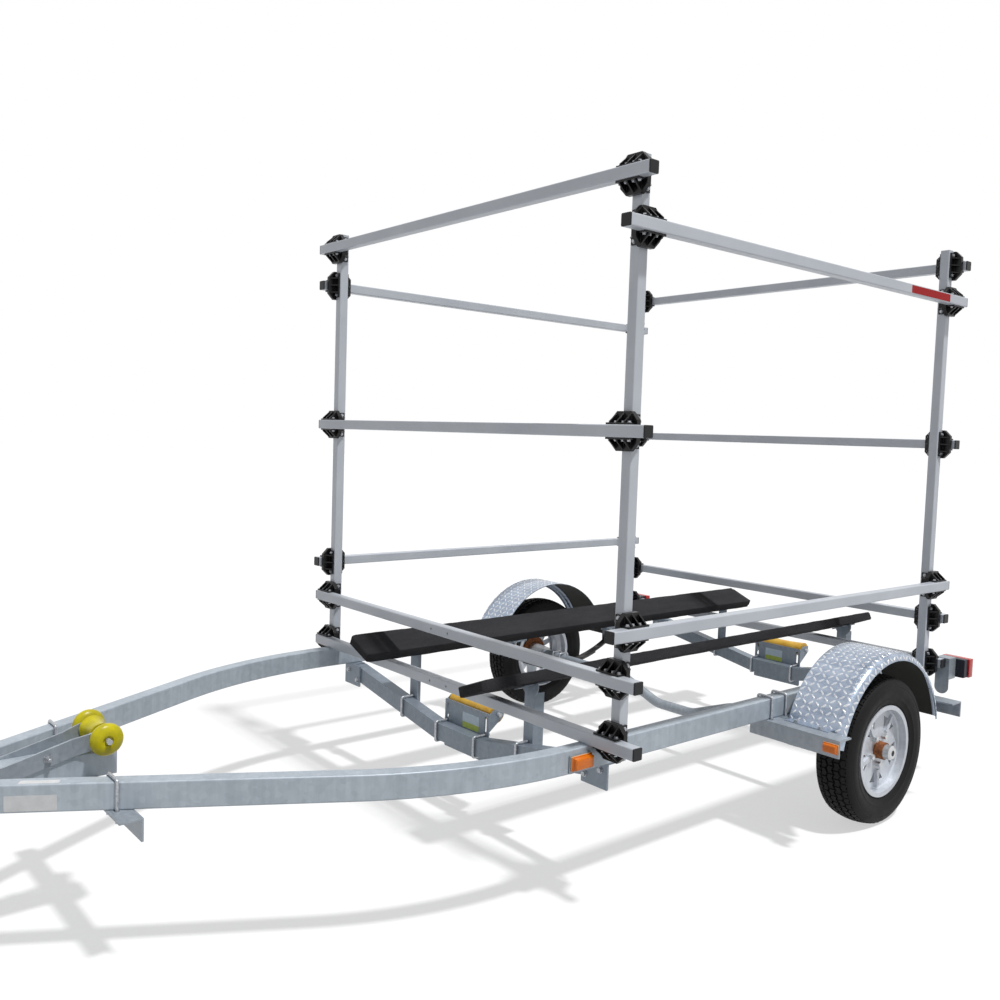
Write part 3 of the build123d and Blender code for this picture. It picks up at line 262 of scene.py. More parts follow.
def close():
    """Merge doubles, turn the faces outwards and leave edit mode."""
    bpy.ops.mesh.select_all(action="SELECT")
    bpy.ops.mesh.remove_doubles(threshold=1e-6)
    bpy.ops.mesh.normals_make_consistent(inside=False)
    bpy.ops.object.mode_set(mode="OBJECT")
    return bpy.context.object


def draw_out(step):
    """Extrude what is selected by a step."""
    bpy.ops.mesh.extrude_region_move(TRANSFORM_OT_translate={"value": step})


def settle(piece, name):
    """Put a piece's place into its mesh and name it."""
    pick(piece)
    bpy.ops.object.transform_apply(location=True, rotation=True, scale=True)
    piece.name = name
    piece.data.name = name
    return piece


def joined(pieces, name):
    """Join pieces into one and name it."""
    deselect()
    for piece in pieces:
        piece.select_set(True)
    bpy.context.view_layer.objects.active = pieces[0]
    if len(pieces) > 1:
        bpy.ops.object.join()
    return settle(bpy.context.object, name)


def smooth(piece, degrees):
    """Shade a piece smooth, except over sharp edges."""
    pick(piece)
    bpy.ops.object.shade_smooth_by_angle(angle=math.radians(degrees))


def solids(node):
    """Lowest and highest corners of each loose solid of a CAD node."""
    loose = bpy.data.objects.new("loose", frame["nodes"][node].data.copy())
    bpy.context.scene.collection.objects.link(loose)
    edit(loose)
    bpy.ops.mesh.remove_doubles(threshold=1e-5)
    bpy.ops.mesh.separate(type="LOOSE")
    bpy.ops.object.mode_set(mode="OBJECT")
    boxes = []
    for piece in list(bpy.context.selected_objects):
        sides = list(zip(*(vertex.co for vertex in piece.data.vertices)))
        boxes.append((Vector([min(side) for side in sides]), Vector([max(side) for side in sides])))
        bpy.data.objects.remove(piece)
    return sorted(boxes, key=lambda box: tuple(box[0]))


def hex_head(radius, height, washer_radius, washer_thickness):
    """A hexagon head or nut with a chamfered top on its washer, standing on the origin."""
    deselect()
    bpy.ops.mesh.primitive_cylinder_add(
        vertices=6, radius=radius, depth=height, location=(0, 0, washer_thickness + height / 2)
    )
    head = bpy.context.object
    for face in head.data.polygons:
        face.select = face.normal.z > 0.9
    bpy.ops.object.mode_set(mode="EDIT")
    bpy.ops.mesh.inset(thickness=radius * 0.16)
    bpy.ops.transform.translate(value=(0, 0, radius * 0.09))
    bpy.ops.object.mode_set(mode="OBJECT")
    deselect()
    bpy.ops.mesh.primitive_cylinder_add(
        vertices=14, radius=washer_radius, depth=washer_thickness, location=(0, 0, washer_thickness / 2)
    )
    return joined([head, bpy.context.object], "head")


def place_copies(master, places, name):
    """Copy a small piece to each place, and join the copies."""
    copies = []
    for spot in places:
        copy = master.copy()
        copy.data = master.data.copy()
        copy.data.transform(spot)
        bpy.context.scene.collection.objects.link(copy)
        copies.append(copy)
    bpy.data.objects.remove(master)
    return joined(copies, name)


def standing(spot, normal):
    """The place of a piece that stands on a spot, its own up along a normal."""
    return Matrix.Translation(spot) @ Vector((0, 0, 1)).rotation_difference(normal).to_matrix().to_4x4()


bolt_finish, tree, shader = new_finish("plated_bolt", Metallic=0.6)
dull = spread(tree, noise(tree, object_place(tree), 140.0, 4.0), 0.35, 0.7)
tree.links.new(
    tint(tree, dull, (0.34, 0.36, 0.39, 1), (0.58, 0.6, 0.63, 1)), shader.inputs["Base Color"]
)
tree.links.new(spread(tree, dull, 0.0, 1.0, 0.28, 0.45), shader.inputs["Roughness"])

dress(bolt_finish, "u_bolts")
nut_places = []
for low, high in solids("u_bolts"):
    size = high - low
    middle = (low + high) / 2
    rod = Vector((rod_radius, rod_radius, rod_radius))
    ends = (low + rod, high - rod)
    if size.x < 3 * rod_radius:
        legs = [Vector((middle.x, end.y, low.z + long_tail)) for end in ends]
        down = Vector((0, 0, -1))
    elif abs(middle.x - axle_at.x) < axle_reach:
        legs = [Vector((end.x, middle.y, low.z + short_tail)) for end in ends]
        down = Vector((0, 0, -1))
    else:
        legs = [Vector((low.x + short_tail, middle.y, end.z)) for end in ends]
        down = Vector((-1, 0, 0))
    nut_places += [standing(leg, down) for leg in legs]
nut = hex_head(radius=0.0085, height=0.0078, washer_radius=0.0105, washer_thickness=0.0016)
nuts = place_copies(nut, nut_places, "u_bolt_nuts")
nuts.data.materials.append(bolt_finish)
smooth(nuts, 30)
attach(nuts, "chassis")


# Frame bolts: hexagon bolts through the cross member brackets, the fenders' feet, the coupler and the
# jack's plate, and two through each arm of the bow stop, whose ends stand out of their nuts.
bracket_plate = 0.008
bracket_bolts = ((0.1, 0.062), (0.03, 0.03))
foot_top = 0.431
foot_reach = 0.391
foot_bolts = (0.89, 0.99)
coupler_bolts = (0.03, 0.09)
jack_plate = 0.008
jack_bolts_along = (0.05, -0.05)
jack_bolts_up = (0.022, -0.022)
bolt_places = []
low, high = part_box("crossmember_brackets")
for face_x in (high.x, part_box("crossmember_rear")[1].x + bracket_plate):
    for side in (1, -1):
        for inward, drop in bracket_bolts:
            spot = Vector((face_x, side * (high.y - inward), high.z - drop))
            bolt_places.append(standing(spot, Vector((1, 0, 0))))
for side in (1, -1):
    for end in (1, -1):
        for across in foot_bolts:
            spot = Vector((axle_at.x + end * foot_reach, side * across, foot_top))
            bolt_places.append(standing(spot, Vector((0, 0, 1))))
tongue_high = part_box("tongue_tube")[1]
tongue_mid = (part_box("tongue_tube")[0].z + tongue_high.z) / 2
for side in (1, -1):
    for back in coupler_bolts:
        spot = Vector((tongue_high.x - back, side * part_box("coupler")[1].y, tongue_mid))
        bolt_places.append(standing(spot, Vector((0, side, 0))))
jack_x = (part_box("jack_leg")[0].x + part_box("jack_leg")[1].x) / 2
for along in jack_bolts_along:
    for up in jack_bolts_up:
        spot = Vector((jack_x + along, tongue_high.y + jack_plate, tongue_mid + up))
        bolt_places.append(standing(spot, Vector((0, 1, 0))))
bolt = hex_head(radius=0.0085, height=0.006, washer_radius=0.011, washer_thickness=0.0016)
frame_bolts = place_copies(bolt, bolt_places, "frame_bolts")

bow_at = spin_points["bow_roller"]
arm_pitch = math.radians(14.5)
arm_thickness = 0.0064
arm_bolts_along = (0.151, 0.335)
bolt_end_radius = 0.0052
bolt_end_length = 0.024
bolt_end_chamfer = 0.0012
arm_bolt_places = []
for side in (1, -1):
    for along in arm_bolts_along:
        spot = bow_at + Vector((math.cos(arm_pitch) * along, 0, -math.sin(arm_pitch) * along))
        spot.y = side * (tongue_high.y + arm_thickness)
        arm_bolt_places.append(standing(spot, Vector((0, side, 0))))
deselect()
bpy.ops.mesh.primitive_cylinder_add(
    vertices=16, radius=bolt_end_radius, depth=bolt_end_length, location=(0, 0, bolt_end_length / 2)
)
edit()
bpy.ops.mesh.bevel(offset=bolt_end_chamfer, segments=1)
bolt_end = settle(close(), "bolt_end")
arm_nut = hex_head(radius=0.0095, height=0.008, washer_radius=0.0125, washer_thickness=0.002)
stud = joined([bolt_end, arm_nut], "stud")
arm_bolts = place_copies(stud, arm_bolt_places, "arm_bolts")
frame_bolts = joined([frame_bolts, arm_bolts], "frame_bolts")
frame_bolts.data.materials.append(bolt_finish)
smooth(frame_bolts, 30)
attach(frame_bolts, "chassis")


# Leaf springs: three flat leaves of spring steel on each side, painted black and rubbed bright in places.
# They hang in the hangers by their eyes and carry the axle on a seat.
spring_black, tree, shader = new_finish("spring_black", Metallic=0.4)
place = object_place(tree)
worn = spread(tree, noise(tree, stretched(tree, place, (6.0, 30.0, 60.0)), 1.0, 6.0), 0.5, 0.72)
tree.links.new(
    tint(tree, worn, (0.035, 0.036, 0.038, 1), (0.16, 0.15, 0.14, 1)), shader.inputs["Base Color"]
)
tree.links.new(spread(tree, worn, 0.0, 1.0, 0.5, 0.68), shader.inputs["Roughness"])
tree.links.new(relief(tree, noise(tree, place, 300.0), 0.2, 0.0006), shader.inputs["Normal"])
dress(spring_black, "leaf_springs")


# Coupler and jack: a pressed steel coupler and a screw jack with a crank, both zinc plated and brighter
# than the dipped frame. The coupler sits on the tongue's front end and the jack on its left face.
plated_zinc = galvanised(
    "plated_zinc", (0.42, 0.45, 0.48, 1), (0.66, 0.68, 0.7, 1), 160.0, 0.1, 0.6
)
dress(plated_zinc, "coupler", "coupler_latch", "jack_body", "jack_leg", "jack_crank", "roller_shafts")
ease_edges(0.0015, "coupler", "coupler_latch", "jack_body", "jack_crank", "roller_shafts")


# Wheels: spoked steel rims dipped in zinc, on hubs of cast iron whose noses show a bloom of rust.
# A bright pressed cap closes each hub round a dark rubber plug, and five plated nuts hold the rim.
rim_zinc = galvanised("rim_zinc", (0.52, 0.55, 0.6, 1), (0.74, 0.77, 0.82, 1), 60.0, 0.2, 0.3)
dress(rim_zinc, "rim_left", "rim_right")


def axle_distance(tree, split):
    """How far each point lies from the axle's line."""
    along = sums(tree, "SUBTRACT", split.outputs["X"], axle_at.x)
    above = sums(tree, "SUBTRACT", split.outputs["Z"], axle_at.z)
    squares = [sums(tree, "MULTIPLY", length, length) for length in (along, above)]
    return sums(tree, "SQRT", sums(tree, "ADD", *squares), 0.0)


cap_from = 1.037
plug_from = 1.0655
plug_radius = 0.011
nut_from = 0.999
rust_from = 0.985
nut_circle_in = 0.044
rusted_hub, tree, shader = new_finish("rusted_hub")
place = object_place(tree)
split = shader_node(tree, "ShaderNodeSeparateXYZ", {"Vector": place})
outboard = sums(tree, "ABSOLUTE", split.outputs["Y"], 0.0)
on_cap = sums(tree, "GREATER_THAN", outboard, cap_from)
away = axle_distance(tree, split)
on_plug = sums(
    tree, "MULTIPLY", sums(tree, "LESS_THAN", away, plug_radius),
    sums(tree, "GREATER_THAN", outboard, plug_from),
)
on_nuts = sums(
    tree, "MULTIPLY", sums(tree, "GREATER_THAN", away, nut_circle_in),
    sums(tree, "GREATER_THAN", outboard, nut_from),
)
inboard = sums(tree, "LESS_THAN", outboard, rust_from)
bare = sums(tree, "MAXIMUM", sums(tree, "MAXIMUM", on_cap, on_nuts), inboard)
bright = sums(tree, "SUBTRACT", bare, on_plug, clamp=True)
rust = spread(tree, noise(tree, place, 90.0, 8.0, 0.65), 0.3, 0.7)
rust_color = tint(tree, rust, (0.1, 0.028, 0.014, 1), (0.4, 0.14, 0.035, 1))
hub_color = tint(tree, bare, rust_color, (0.62, 0.63, 0.64, 1))
tree.links.new(tint(tree, on_plug, hub_color, (0.02, 0.02, 0.022, 1)), shader.inputs["Base Color"])
tree.links.new(sums(tree, "MULTIPLY", bright, 0.7), shader.inputs["Metallic"])
tree.links.new(spread(tree, bright, 0.0, 1.0, 0.85, 0.28), shader.inputs["Roughness"])
tree.links.new(relief(tree, rust, 0.3, 0.001), shader.inputs["Normal"])
dress(rusted_hub, "hub_left", "hub_right")


# Tyres: a ribbed trailer tread of black rubber, five rows of zigzag blocks moulded on the carcass.
# The sidewall bulges from the rim's lip to the shoulder and carries fine moulded rings.
tread_depth = 0.0075
tread_rows = (-0.0475, -0.0245, 0.0, 0.0245, 0.0475)
tread_pitches = 56
tread_gap = 0.004
tread_row_width = 0.0185
tread_zigzag = 0.0035
tread_chamfer = 0.0012
flat_block_ease = 0.0004
tyre_steps = 112
tyre_radius = (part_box("tyre_left")[1].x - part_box("tyre_left")[0].x) / 2 - flat_block_ease
shoulder_drop = 0.01
shoulder_at = 0.06
crown_at = 0.03

# Sidewall from the bead to the shoulder: offset from the tyre's middle, radius
sidewall = (
    (0.0450, 0.1660), (0.0566, 0.1660), (0.0566, 0.1790), (0.0596, 0.1835), (0.0622, 0.1845),
    (0.0640, 0.1900), (0.0690, 0.2040), (0.0708, 0.2060), (0.0702, 0.2090), (0.0735, 0.2220),
    (0.0748, 0.2330), (0.0738, 0.2460), (0.0722, 0.2500), (0.0730, 0.2520), (0.0700, 0.2620),
    (0.0645, 0.2730), (0.0595, 0.2765), (0.0560, 0.2715),
)


def crown(across):
    """The tread's radius at a distance from the tyre's middle."""
    return tyre_radius - shoulder_drop * (across / shoulder_at) ** 2


def spin_profile(name, points, centre, steps):
    """Draw a closed profile of (across, radius) points above an axle, corner by corner, and spin it."""
    corners = [Vector((centre.x, centre.y + across, centre.z + radius)) for across, radius in points]
    deselect()
    bpy.ops.mesh.primitive_plane_add(size=0.001, location=corners[0])
    bpy.ops.object.mode_set(mode="EDIT")
    bpy.ops.mesh.select_mode(type="VERT")
    bpy.ops.mesh.select_all(action="SELECT")
    bpy.ops.mesh.merge(type="CENTER")
    for here, there in zip(corners, corners[1:] + corners[:1]):
        bpy.ops.mesh.extrude_vertices_move(TRANSFORM_OT_translate={"value": there - here})
    bpy.ops.mesh.select_all(action="SELECT")
    bpy.ops.mesh.remove_doubles(threshold=1e-5)
    bpy.ops.mesh.spin(steps=steps, angle=math.tau, center=centre, axis=(0, 1, 0))
    bpy.ops.mesh.select_all(action="SELECT")
    bpy.ops.mesh.remove_doubles(threshold=1e-5)
    return settle(close(), name)


def round_the_axle(piece, centre, step, count):
    """Repeat a piece round the axle."""
    turn = bpy.data.objects.new("turn", None)
    bpy.context.scene.collection.objects.link(turn)
    turn.matrix_world = (
        Matrix.Translation(centre) @ Matrix.Rotation(step, 4, "Y") @ Matrix.Translation(-centre)
    )
    bpy.context.view_layer.update()
    ring = piece.modifiers.new("ring", "ARRAY")
    ring.use_relative_offset = False
    ring.use_object_offset = True
    ring.offset_object = turn
    ring.count = count
    pick(piece)
    bpy.ops.object.modifier_apply(modifier="ring")
    bpy.data.objects.remove(turn)


def tread_block(centre, across, turn):
    """One tread block above the axle, kinked in the middle and chamfered on top."""
    length = math.tau * tyre_radius / tread_pitches - tread_gap
    deselect()
    bpy.ops.mesh.primitive_cube_add(size=1, location=(0, 0, 0))
    edit()
    bpy.ops.transform.resize(
        value=(length, tread_row_width, 2 * tread_depth), center_override=(0, 0, 0)
    )
    bpy.ops.mesh.bisect(plane_co=(0, 0, 0), plane_no=(1, 0, 0))
    bpy.ops.object.mode_set(mode="OBJECT")
    block = bpy.context.object
    for vertex in block.data.vertices:
        kink = tread_zigzag if abs(vertex.co.x) < 1e-4 else -tread_zigzag
        vertex.co.y += turn * kink
    bpy.ops.object.mode_set(mode="EDIT")
    bpy.ops.mesh.select_mode(type="FACE")
    bpy.ops.mesh.select_all(action="DESELECT")
    bpy.ops.object.mode_set(mode="OBJECT")
    for face in block.data.polygons:
        face.select = face.normal.z > 0.9
    bpy.ops.object.mode_set(mode="EDIT")
    bpy.ops.mesh.inset(thickness=tread_chamfer, depth=0.0)
    bpy.ops.transform.translate(value=(0, 0, tread_chamfer))
    bpy.ops.object.mode_set(mode="OBJECT")
    lean = math.atan(2 * shoulder_drop * across / shoulder_at ** 2)
    block.data.transform(
        Matrix.Translation(centre + Vector((0, across, crown(across) - tread_depth - tread_chamfer)))
        @ Matrix.Rotation(-lean, 4, "X")
    )
    return block


dusty, inlet, outlet = new_group(
    "road_dust", (
        ("Color", (0.02, 0.02, 0.02, 1.0)), ("Dust", (0.3, 0.28, 0.25, 1.0)), ("Amount", 0.3),
        ("Scale", 12.0),
    ),
    (("Color", "NodeSocketColor"), ("Mask", "NodeSocketFloat")),
)
place = object_place(dusty)
patch = shader_node(dusty, "ShaderNodeTexNoise", {
    "Vector": place, "Scale": inlet.outputs["Scale"], "Detail": 8.0, "Roughness": 0.65,
}).outputs["Fac"]
mask = sums(dusty, "MULTIPLY", spread(dusty, patch, 0.35, 0.75), inlet.outputs["Amount"], clamp=True)
dusty.links.new(
    tint(dusty, mask, inlet.outputs["Color"], inlet.outputs["Dust"]), outlet.inputs["Color"]
)
dusty.links.new(mask, outlet.inputs["Mask"])


def with_dust(tree, shader, color, dust, amount, scale):
    """Feed a colour with dust on it to a shader, and return the dust's mask."""
    grime = shader_node(tree, "ShaderNodeGroup", node_tree=dusty)
    grime.inputs["Color"].default_value = color
    grime.inputs["Dust"].default_value = dust
    grime.inputs["Amount"].default_value = amount
    grime.inputs["Scale"].default_value = scale
    tree.links.new(grime.outputs["Color"], shader.inputs["Base Color"])
    return grime.outputs["Mask"]


rubber, tree, shader = new_finish("tyre_rubber")
shader.inputs["Specular IOR Level"].default_value = 0.15
mask = with_dust(tree, shader, (0.0075, 0.0075, 0.0085, 1), (0.033, 0.032, 0.031, 1), 0.38, 26.0)
tree.links.new(spread(tree, mask, 0.0, 0.6, 0.55, 0.9), shader.inputs["Roughness"])
tree.links.new(relief(tree, noise(tree, object_place(tree), 500.0), 0.12, 0.0005), shader.inputs["Normal"])

for side in ("left", "right"):
    centre = spin_points[f"wheel_{side}"]
    tread_floor = crown(crown_at) - tread_depth
    carcass = [(-across, radius) for across, radius in sidewall]
    carcass += [(-crown_at, tread_floor), (crown_at, tread_floor)]
    carcass += list(reversed(sidewall))
    tyre = spin_profile(f"tyre_carcass_{side}", carcass, centre, tyre_steps)
    blocks = []
    for row, across in enumerate(tread_rows):
        block = tread_block(centre, across, 1 if row % 2 else -1)
        block.data.transform(
            Matrix.Translation(centre) @ Matrix.Rotation(row % 2 * math.pi / tread_pitches, 4, "Y")
            @ Matrix.Translation(-centre)
        )
        round_the_axle(block, centre, math.tau / tread_pitches, tread_pitches)
        blocks.append(block)
    tyre = joined([tyre] + blocks, f"ribbed_tyre_{side}")
    tyre.data.materials.clear()
    tyre.data.materials.append(rubber)
    smooth(tyre, 35)
    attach(tyre, f"wheel_{side}")
    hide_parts(f"tyre_{side}")


# Fenders: arches of bright aluminium tread plate with a rolled outer edge, bolted to angles.
# Raised lozenges stand on the plate in rows, each turned across its neighbours.
lug_length = 0.0125
lug_width = 0.0042
lug_height = 0.0016
lug_pitch = 0.0245
lug_clear = 0.012
roll_radius = 0.03
fender_plate = 0.0016
fender_low_angle = math.radians(14)
fender_flat_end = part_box("fender_left")[1].y - roll_radius


def tread_metal(name, dark, pale, smoothness, under=0.0):
    """Rolled aluminium, scuffed along the arch, its underside darkened almost to black nearer the axle than
    a distance.
    """
    finish, tree, shader = new_finish(name, Metallic=0.6)
    place = object_place(tree)
    split = shader_node(tree, "ShaderNodeSeparateXYZ", {"Vector": place})
    below = sums(tree, "LESS_THAN", axle_distance(tree, split), under)
    outboard = sums(tree, "ABSOLUTE", split.outputs["Y"], 0.0)
    inside = sums(tree, "LESS_THAN", outboard, fender_flat_end)
    # The plate's underside, nearer the axle than under, is darkened almost to black.
    dark_underside = sums(tree, "MULTIPLY", below, inside)
    scuff = spread(tree, noise(tree, stretched(tree, place, (30.0, 9.0, 30.0)), 1.0, 7.0, 0.7), 0.35, 0.7)
    plate = tint(tree, scuff, dark, pale)
    tree.links.new(tint(tree, dark_underside, plate, (0.05, 0.05, 0.045, 1)), shader.inputs["Base Color"])
    rough = spread(tree, scuff, 0.0, 1.0, smoothness, smoothness + 0.14)
    rough = sums(tree, "MAXIMUM", rough, sums(tree, "MULTIPLY", dark_underside, 0.8))
    tree.links.new(rough, shader.inputs["Roughness"])
    tree.links.new(relief(tree, noise(tree, place, 55.0, 3.0), 0.25, 0.0012), shader.inputs["Normal"])
    return finish


fender_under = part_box("fender_left")[1].z - axle_at.z - fender_plate
tread_plate = tread_metal("tread_plate", (0.29, 0.35, 0.45, 1), (0.48, 0.55, 0.66, 1), 0.24, fender_under)
dress(tread_plate, "fender_left", "fender_right")
# The lozenges get a much paler copy of the plate's aluminium. The extra paleness is a painted highlight on
# their raised faces.
lug_painted_highlight = tread_metal("lug_painted_highlight", (0.66, 0.68, 0.72, 1), (0.84, 0.86, 0.9, 1), 0.14)


def lozenge(turn):
    """One raised lozenge on the plate, flat below, its long side turned."""
    deselect()
    bpy.ops.mesh.primitive_uv_sphere_add(segments=8, ring_count=4, radius=1, location=(0, 0, 0))
    edit()
    bpy.ops.transform.resize(value=(lug_length, lug_width, lug_height), center_override=(0, 0, 0))
    bpy.ops.mesh.bisect(plane_co=(0, 0, -0.25 * lug_height), plane_no=(0, 0, 1), clear_inner=True)
    bpy.ops.object.mode_set(mode="OBJECT")
    lug = bpy.context.object
    lug.data.transform(Matrix.Rotation(turn, 4, "Z"))
    return lug


for side, sign in (("left", 1), ("right", -1)):
    low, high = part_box(f"fender_{side}")
    outer_y = max(abs(low.y), abs(high.y))
    inner_y = min(abs(low.y), abs(high.y))
    crest = high.z - axle_at.z
    flat_width = outer_y - roll_radius - inner_y
    profile_length = flat_width + roll_radius * math.pi / 2 - 2 * lug_clear
    columns = int(profile_length / lug_pitch)
    step = lug_pitch / crest
    count = int((math.pi - 2 * fender_low_angle) / (2 * step))
    centre = Vector((axle_at.x, 0, axle_at.z))
    lugs = []
    for column in range(columns + 1):
        along = lug_clear + column * profile_length / columns
        if along <= flat_width:
            spot, lean = Vector((0, sign * (inner_y + along), crest)), 0.0
        else:
            lean = (along - flat_width) / roll_radius
            spot = Vector((
                0, sign * (inner_y + flat_width + roll_radius * math.sin(lean)),
                crest - roll_radius * (1 - math.cos(lean)),
            ))
        for phase in (0, 1):
            lug = lozenge(math.radians(45 if (phase + column) % 2 else -45))
            start = -math.pi / 2 + fender_low_angle + (phase + 0.5) * step
            lug.data.transform(
                Matrix.Translation(centre) @ Matrix.Rotation(start, 4, "Y")
                @ Matrix.Translation(spot) @ Matrix.Rotation(-sign * lean, 4, "X")
            )
            round_the_axle(lug, centre, 2 * step, count)
            lugs.append(lug)
    plate_lugs = joined(lugs, f"fender_lozenges_{side}")
    plate_lugs.data.materials.append(lug_painted_highlight)
    smooth(plate_lugs, 60)
    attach(plate_lugs, "chassis")


# Rollers: yellow polyurethane, cast round a bush. The keel rollers are amber and a little dull,
# the bow roller's spool and bells are clear enough to glow where the light goes through their rims.
def urethane(name, deep, pale, see_through, depth):
    """Cast polyurethane, mottled by dirt."""
    finish, tree, shader = new_finish(name, Roughness=0.34, Coat_Weight=0.08, Subsurface_Weight=see_through)
    shader.inputs["Specular IOR Level"].default_value = 0.35
    shader.inputs["Subsurface Radius"].default_value = depth
    place = object_place(tree)
    cloudy = spread(tree, noise(tree, place, 22.0, 5.0), 0.3, 0.7)
    tree.links.new(tint(tree, cloudy, deep, pale), shader.inputs["Base Color"])
    tree.links.new(relief(tree, noise(tree, place, 160.0), 0.1, 0.0008), shader.inputs["Normal"])
    return finish


keel_yellow = urethane(
    "keel_yellow", (0.66, 0.36, 0.03, 1), (0.84, 0.52, 0.08, 1), 0.15, (0.02, 0.01, 0.002)
)
bow_yellow = urethane(
    "bow_yellow", (0.4, 0.34, 0.001, 1), (0.66, 0.58, 0.002, 1), 0.2, (0.03, 0.025, 0.004)
)
dress(keel_yellow, "keel_roller_front", "keel_roller_rear")

bore = 0.0086
spool_half = 0.046
spool_waist = 0.027
spool_flare = 0.011
roller_steps = 64
bell_near = 0.0634

# Bell from its inner face round the rim to the recess about the shaft: offset from that face, radius
bell_profile = (
    (0.0, bore), (0.0, 0.0255), (0.0015, 0.031), (0.005, 0.038), (0.0095, 0.0432), (0.0145, 0.0462),
    (0.0195, 0.047), (0.0245, 0.0458), (0.0292, 0.0428), (0.0332, 0.0382), (0.0362, 0.0318),
    (0.0378, 0.0245), (0.038, 0.0175), (0.0372, 0.0145), (0.0325, 0.0138), (0.0325, bore),
)
spool_steps = 14
spool = [(-spool_half, bore)]
for step in range(spool_steps + 1):
    share = 2 * step / spool_steps - 1
    spool.append((share * spool_half, spool_waist + spool_flare * share ** 2))
spool.append((spool_half, bore))
rings = [spin_profile("spool", spool, bow_at, roller_steps)]
for side in (1, -1):
    bell = [(side * (bell_near + across), radius) for across, radius in bell_profile]
    rings.append(spin_profile("bell", bell, bow_at, roller_steps))
cast_roller = joined(rings, "cast_bow_roller")
cast_roller.data.materials.append(bow_yellow)
smooth(cast_roller, 40)
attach(cast_roller, "bow_roller")
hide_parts("bow_roller")


# Bunks: planks wrapped in charcoal carpet, folded over their ends and stapled below.
# They lie tilted towards the keel on half-round heads.
bunk_width = 0.146
bunk_thickness = 0.044
bunk_tilt = math.radians(22)
bunk_corner = 0.012
wrap_clear = 0.003
wrap_end_clear = 0.002
bunk_cuts = 100
end_fold = 0.022
end_tuck = 0.8
end_ease = 0.93
swell_depth = 0.004
swell_middle = 0.75

carpet, tree, shader = new_finish("bunk_carpet", Roughness=0.97)
shader.inputs["Specular IOR Level"].default_value = 0.15
place = object_place(tree)
pile = noise(tree, place, 520.0, 2.0, 0.7)
worn = spread(tree, noise(tree, stretched(tree, place, (3.0, 12.0, 12.0)), 1.0, 7.0, 0.6), 0.35, 0.7)
ground = tint(tree, worn, (0.015, 0.015, 0.017, 1), (0.034, 0.034, 0.037, 1))
fleck = spread(tree, pile, 0.42, 0.72, 0.0, 0.75)
tree.links.new(tint(tree, fleck, ground, (0.075, 0.075, 0.08, 1)), shader.inputs["Base Color"])
tree.links.new(relief(tree, pile, 0.8, 0.003), shader.inputs["Normal"])
pile_swell = bpy.data.textures.new("carpet_swell", "CLOUDS")
pile_swell.noise_scale = 0.06

for side, tilt in (("left", bunk_tilt), ("right", -bunk_tilt)):
    low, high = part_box(f"bunk_{side}")
    middle = (low + high) / 2
    length = high.x - low.x
    deselect()
    bpy.ops.mesh.primitive_cube_add(size=1, location=(0, 0, 0))
    edit()
    bpy.ops.transform.resize(
        value=(length - wrap_end_clear, bunk_width - wrap_clear, bunk_thickness - wrap_clear),
        center_override=(0, 0, 0),
    )
    places = [(cut / bunk_cuts - 0.5) * (length - 2 * end_fold) for cut in range(bunk_cuts + 1)]
    for along in places + [length / 2 - end_fold / 3, end_fold / 3 - length / 2]:
        bpy.ops.mesh.select_all(action="SELECT")
        bpy.ops.mesh.bisect(plane_co=(along, 0, 0), plane_no=(1, 0, 0))
    bpy.ops.object.mode_set(mode="OBJECT")
    wrap = bpy.context.object
    for end in (1, -1):
        for reach, share in ((0.0, end_tuck), (end_fold / 3, end_ease)):
            for vertex in wrap.data.vertices:
                vertex.select = abs(end * vertex.co.x - (length / 2 - reach)) < end_fold / 8
            bpy.ops.object.mode_set(mode="EDIT")
            bpy.ops.mesh.select_mode(type="VERT")
            bpy.ops.transform.resize(value=(1, 0.5 + share / 2, share), center_override=(0, 0, 0))
            bpy.ops.mesh.select_all(action="DESELECT")
            bpy.ops.object.mode_set(mode="OBJECT")
    pick(wrap)
    fold = wrap.modifiers.new("fold", "BEVEL")
    fold.width = bunk_corner
    fold.segments = 4
    fold.limit_method = "ANGLE"
    fold.angle_limit = math.radians(40)
    swell = wrap.modifiers.new("swell", "DISPLACE")
    swell.texture = pile_swell
    swell.strength = swell_depth
    swell.mid_level = swell_middle
    for modifier in ("fold", "swell"):
        bpy.ops.object.modifier_apply(modifier=modifier)
    wrap.data.transform(Matrix.Translation(middle) @ Matrix.Rotation(tilt, 4, "X"))
    wrap = settle(wrap, f"carpeted_bunk_{side}")
    wrap.data.materials.append(carpet)
    smooth(wrap, 50)
    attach(wrap, "chassis")
    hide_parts(f"bunk_{side}")


# Rack: square aluminium tube with drawn lines along it, plain at the uprights' tops.
# Black plugs close the ends of every bar.
def drawn_tube(name, stretch):
    """Mill aluminium whose drawn lines run along one axis."""
    finish, tree, shader = new_finish(name, Metallic=0.15)
    place = object_place(tree)
    lines = noise(tree, stretched(tree, place, stretch), 1.0, 5.0, 0.6)
    haze = spread(tree, noise(tree, place, 4.0, 5.0), 0.3, 0.7)
    share = sums(tree, "ADD", sums(tree, "MULTIPLY", lines, 0.5), sums(tree, "MULTIPLY", haze, 0.5))
    tree.links.new(
        tint(tree, share, (0.44, 0.475, 0.53, 1), (0.61, 0.64, 0.69, 1)), shader.inputs["Base Color"]
    )
    tree.links.new(spread(tree, lines, 0.3, 0.7, 0.32, 0.48), shader.inputs["Roughness"])
    tree.links.new(relief(tree, lines, 0.08, 0.0004), shader.inputs["Normal"])
    return finish


across_lines, along_lines = 900.0, 3.0
dress(
    drawn_tube("upright_tube", (across_lines, across_lines, along_lines)), "upright_front_left",
    "upright_front_right", "upright_rear_left", "upright_rear_right",
)
dress(
    drawn_tube("cross_tube", (across_lines, along_lines, across_lines)), "front_cross_bars",
    "rear_cross_bars",
)
dress(
    drawn_tube("side_tube", (along_lines, across_lines, across_lines)), "side_bars_left",
    "side_bars_right",
)


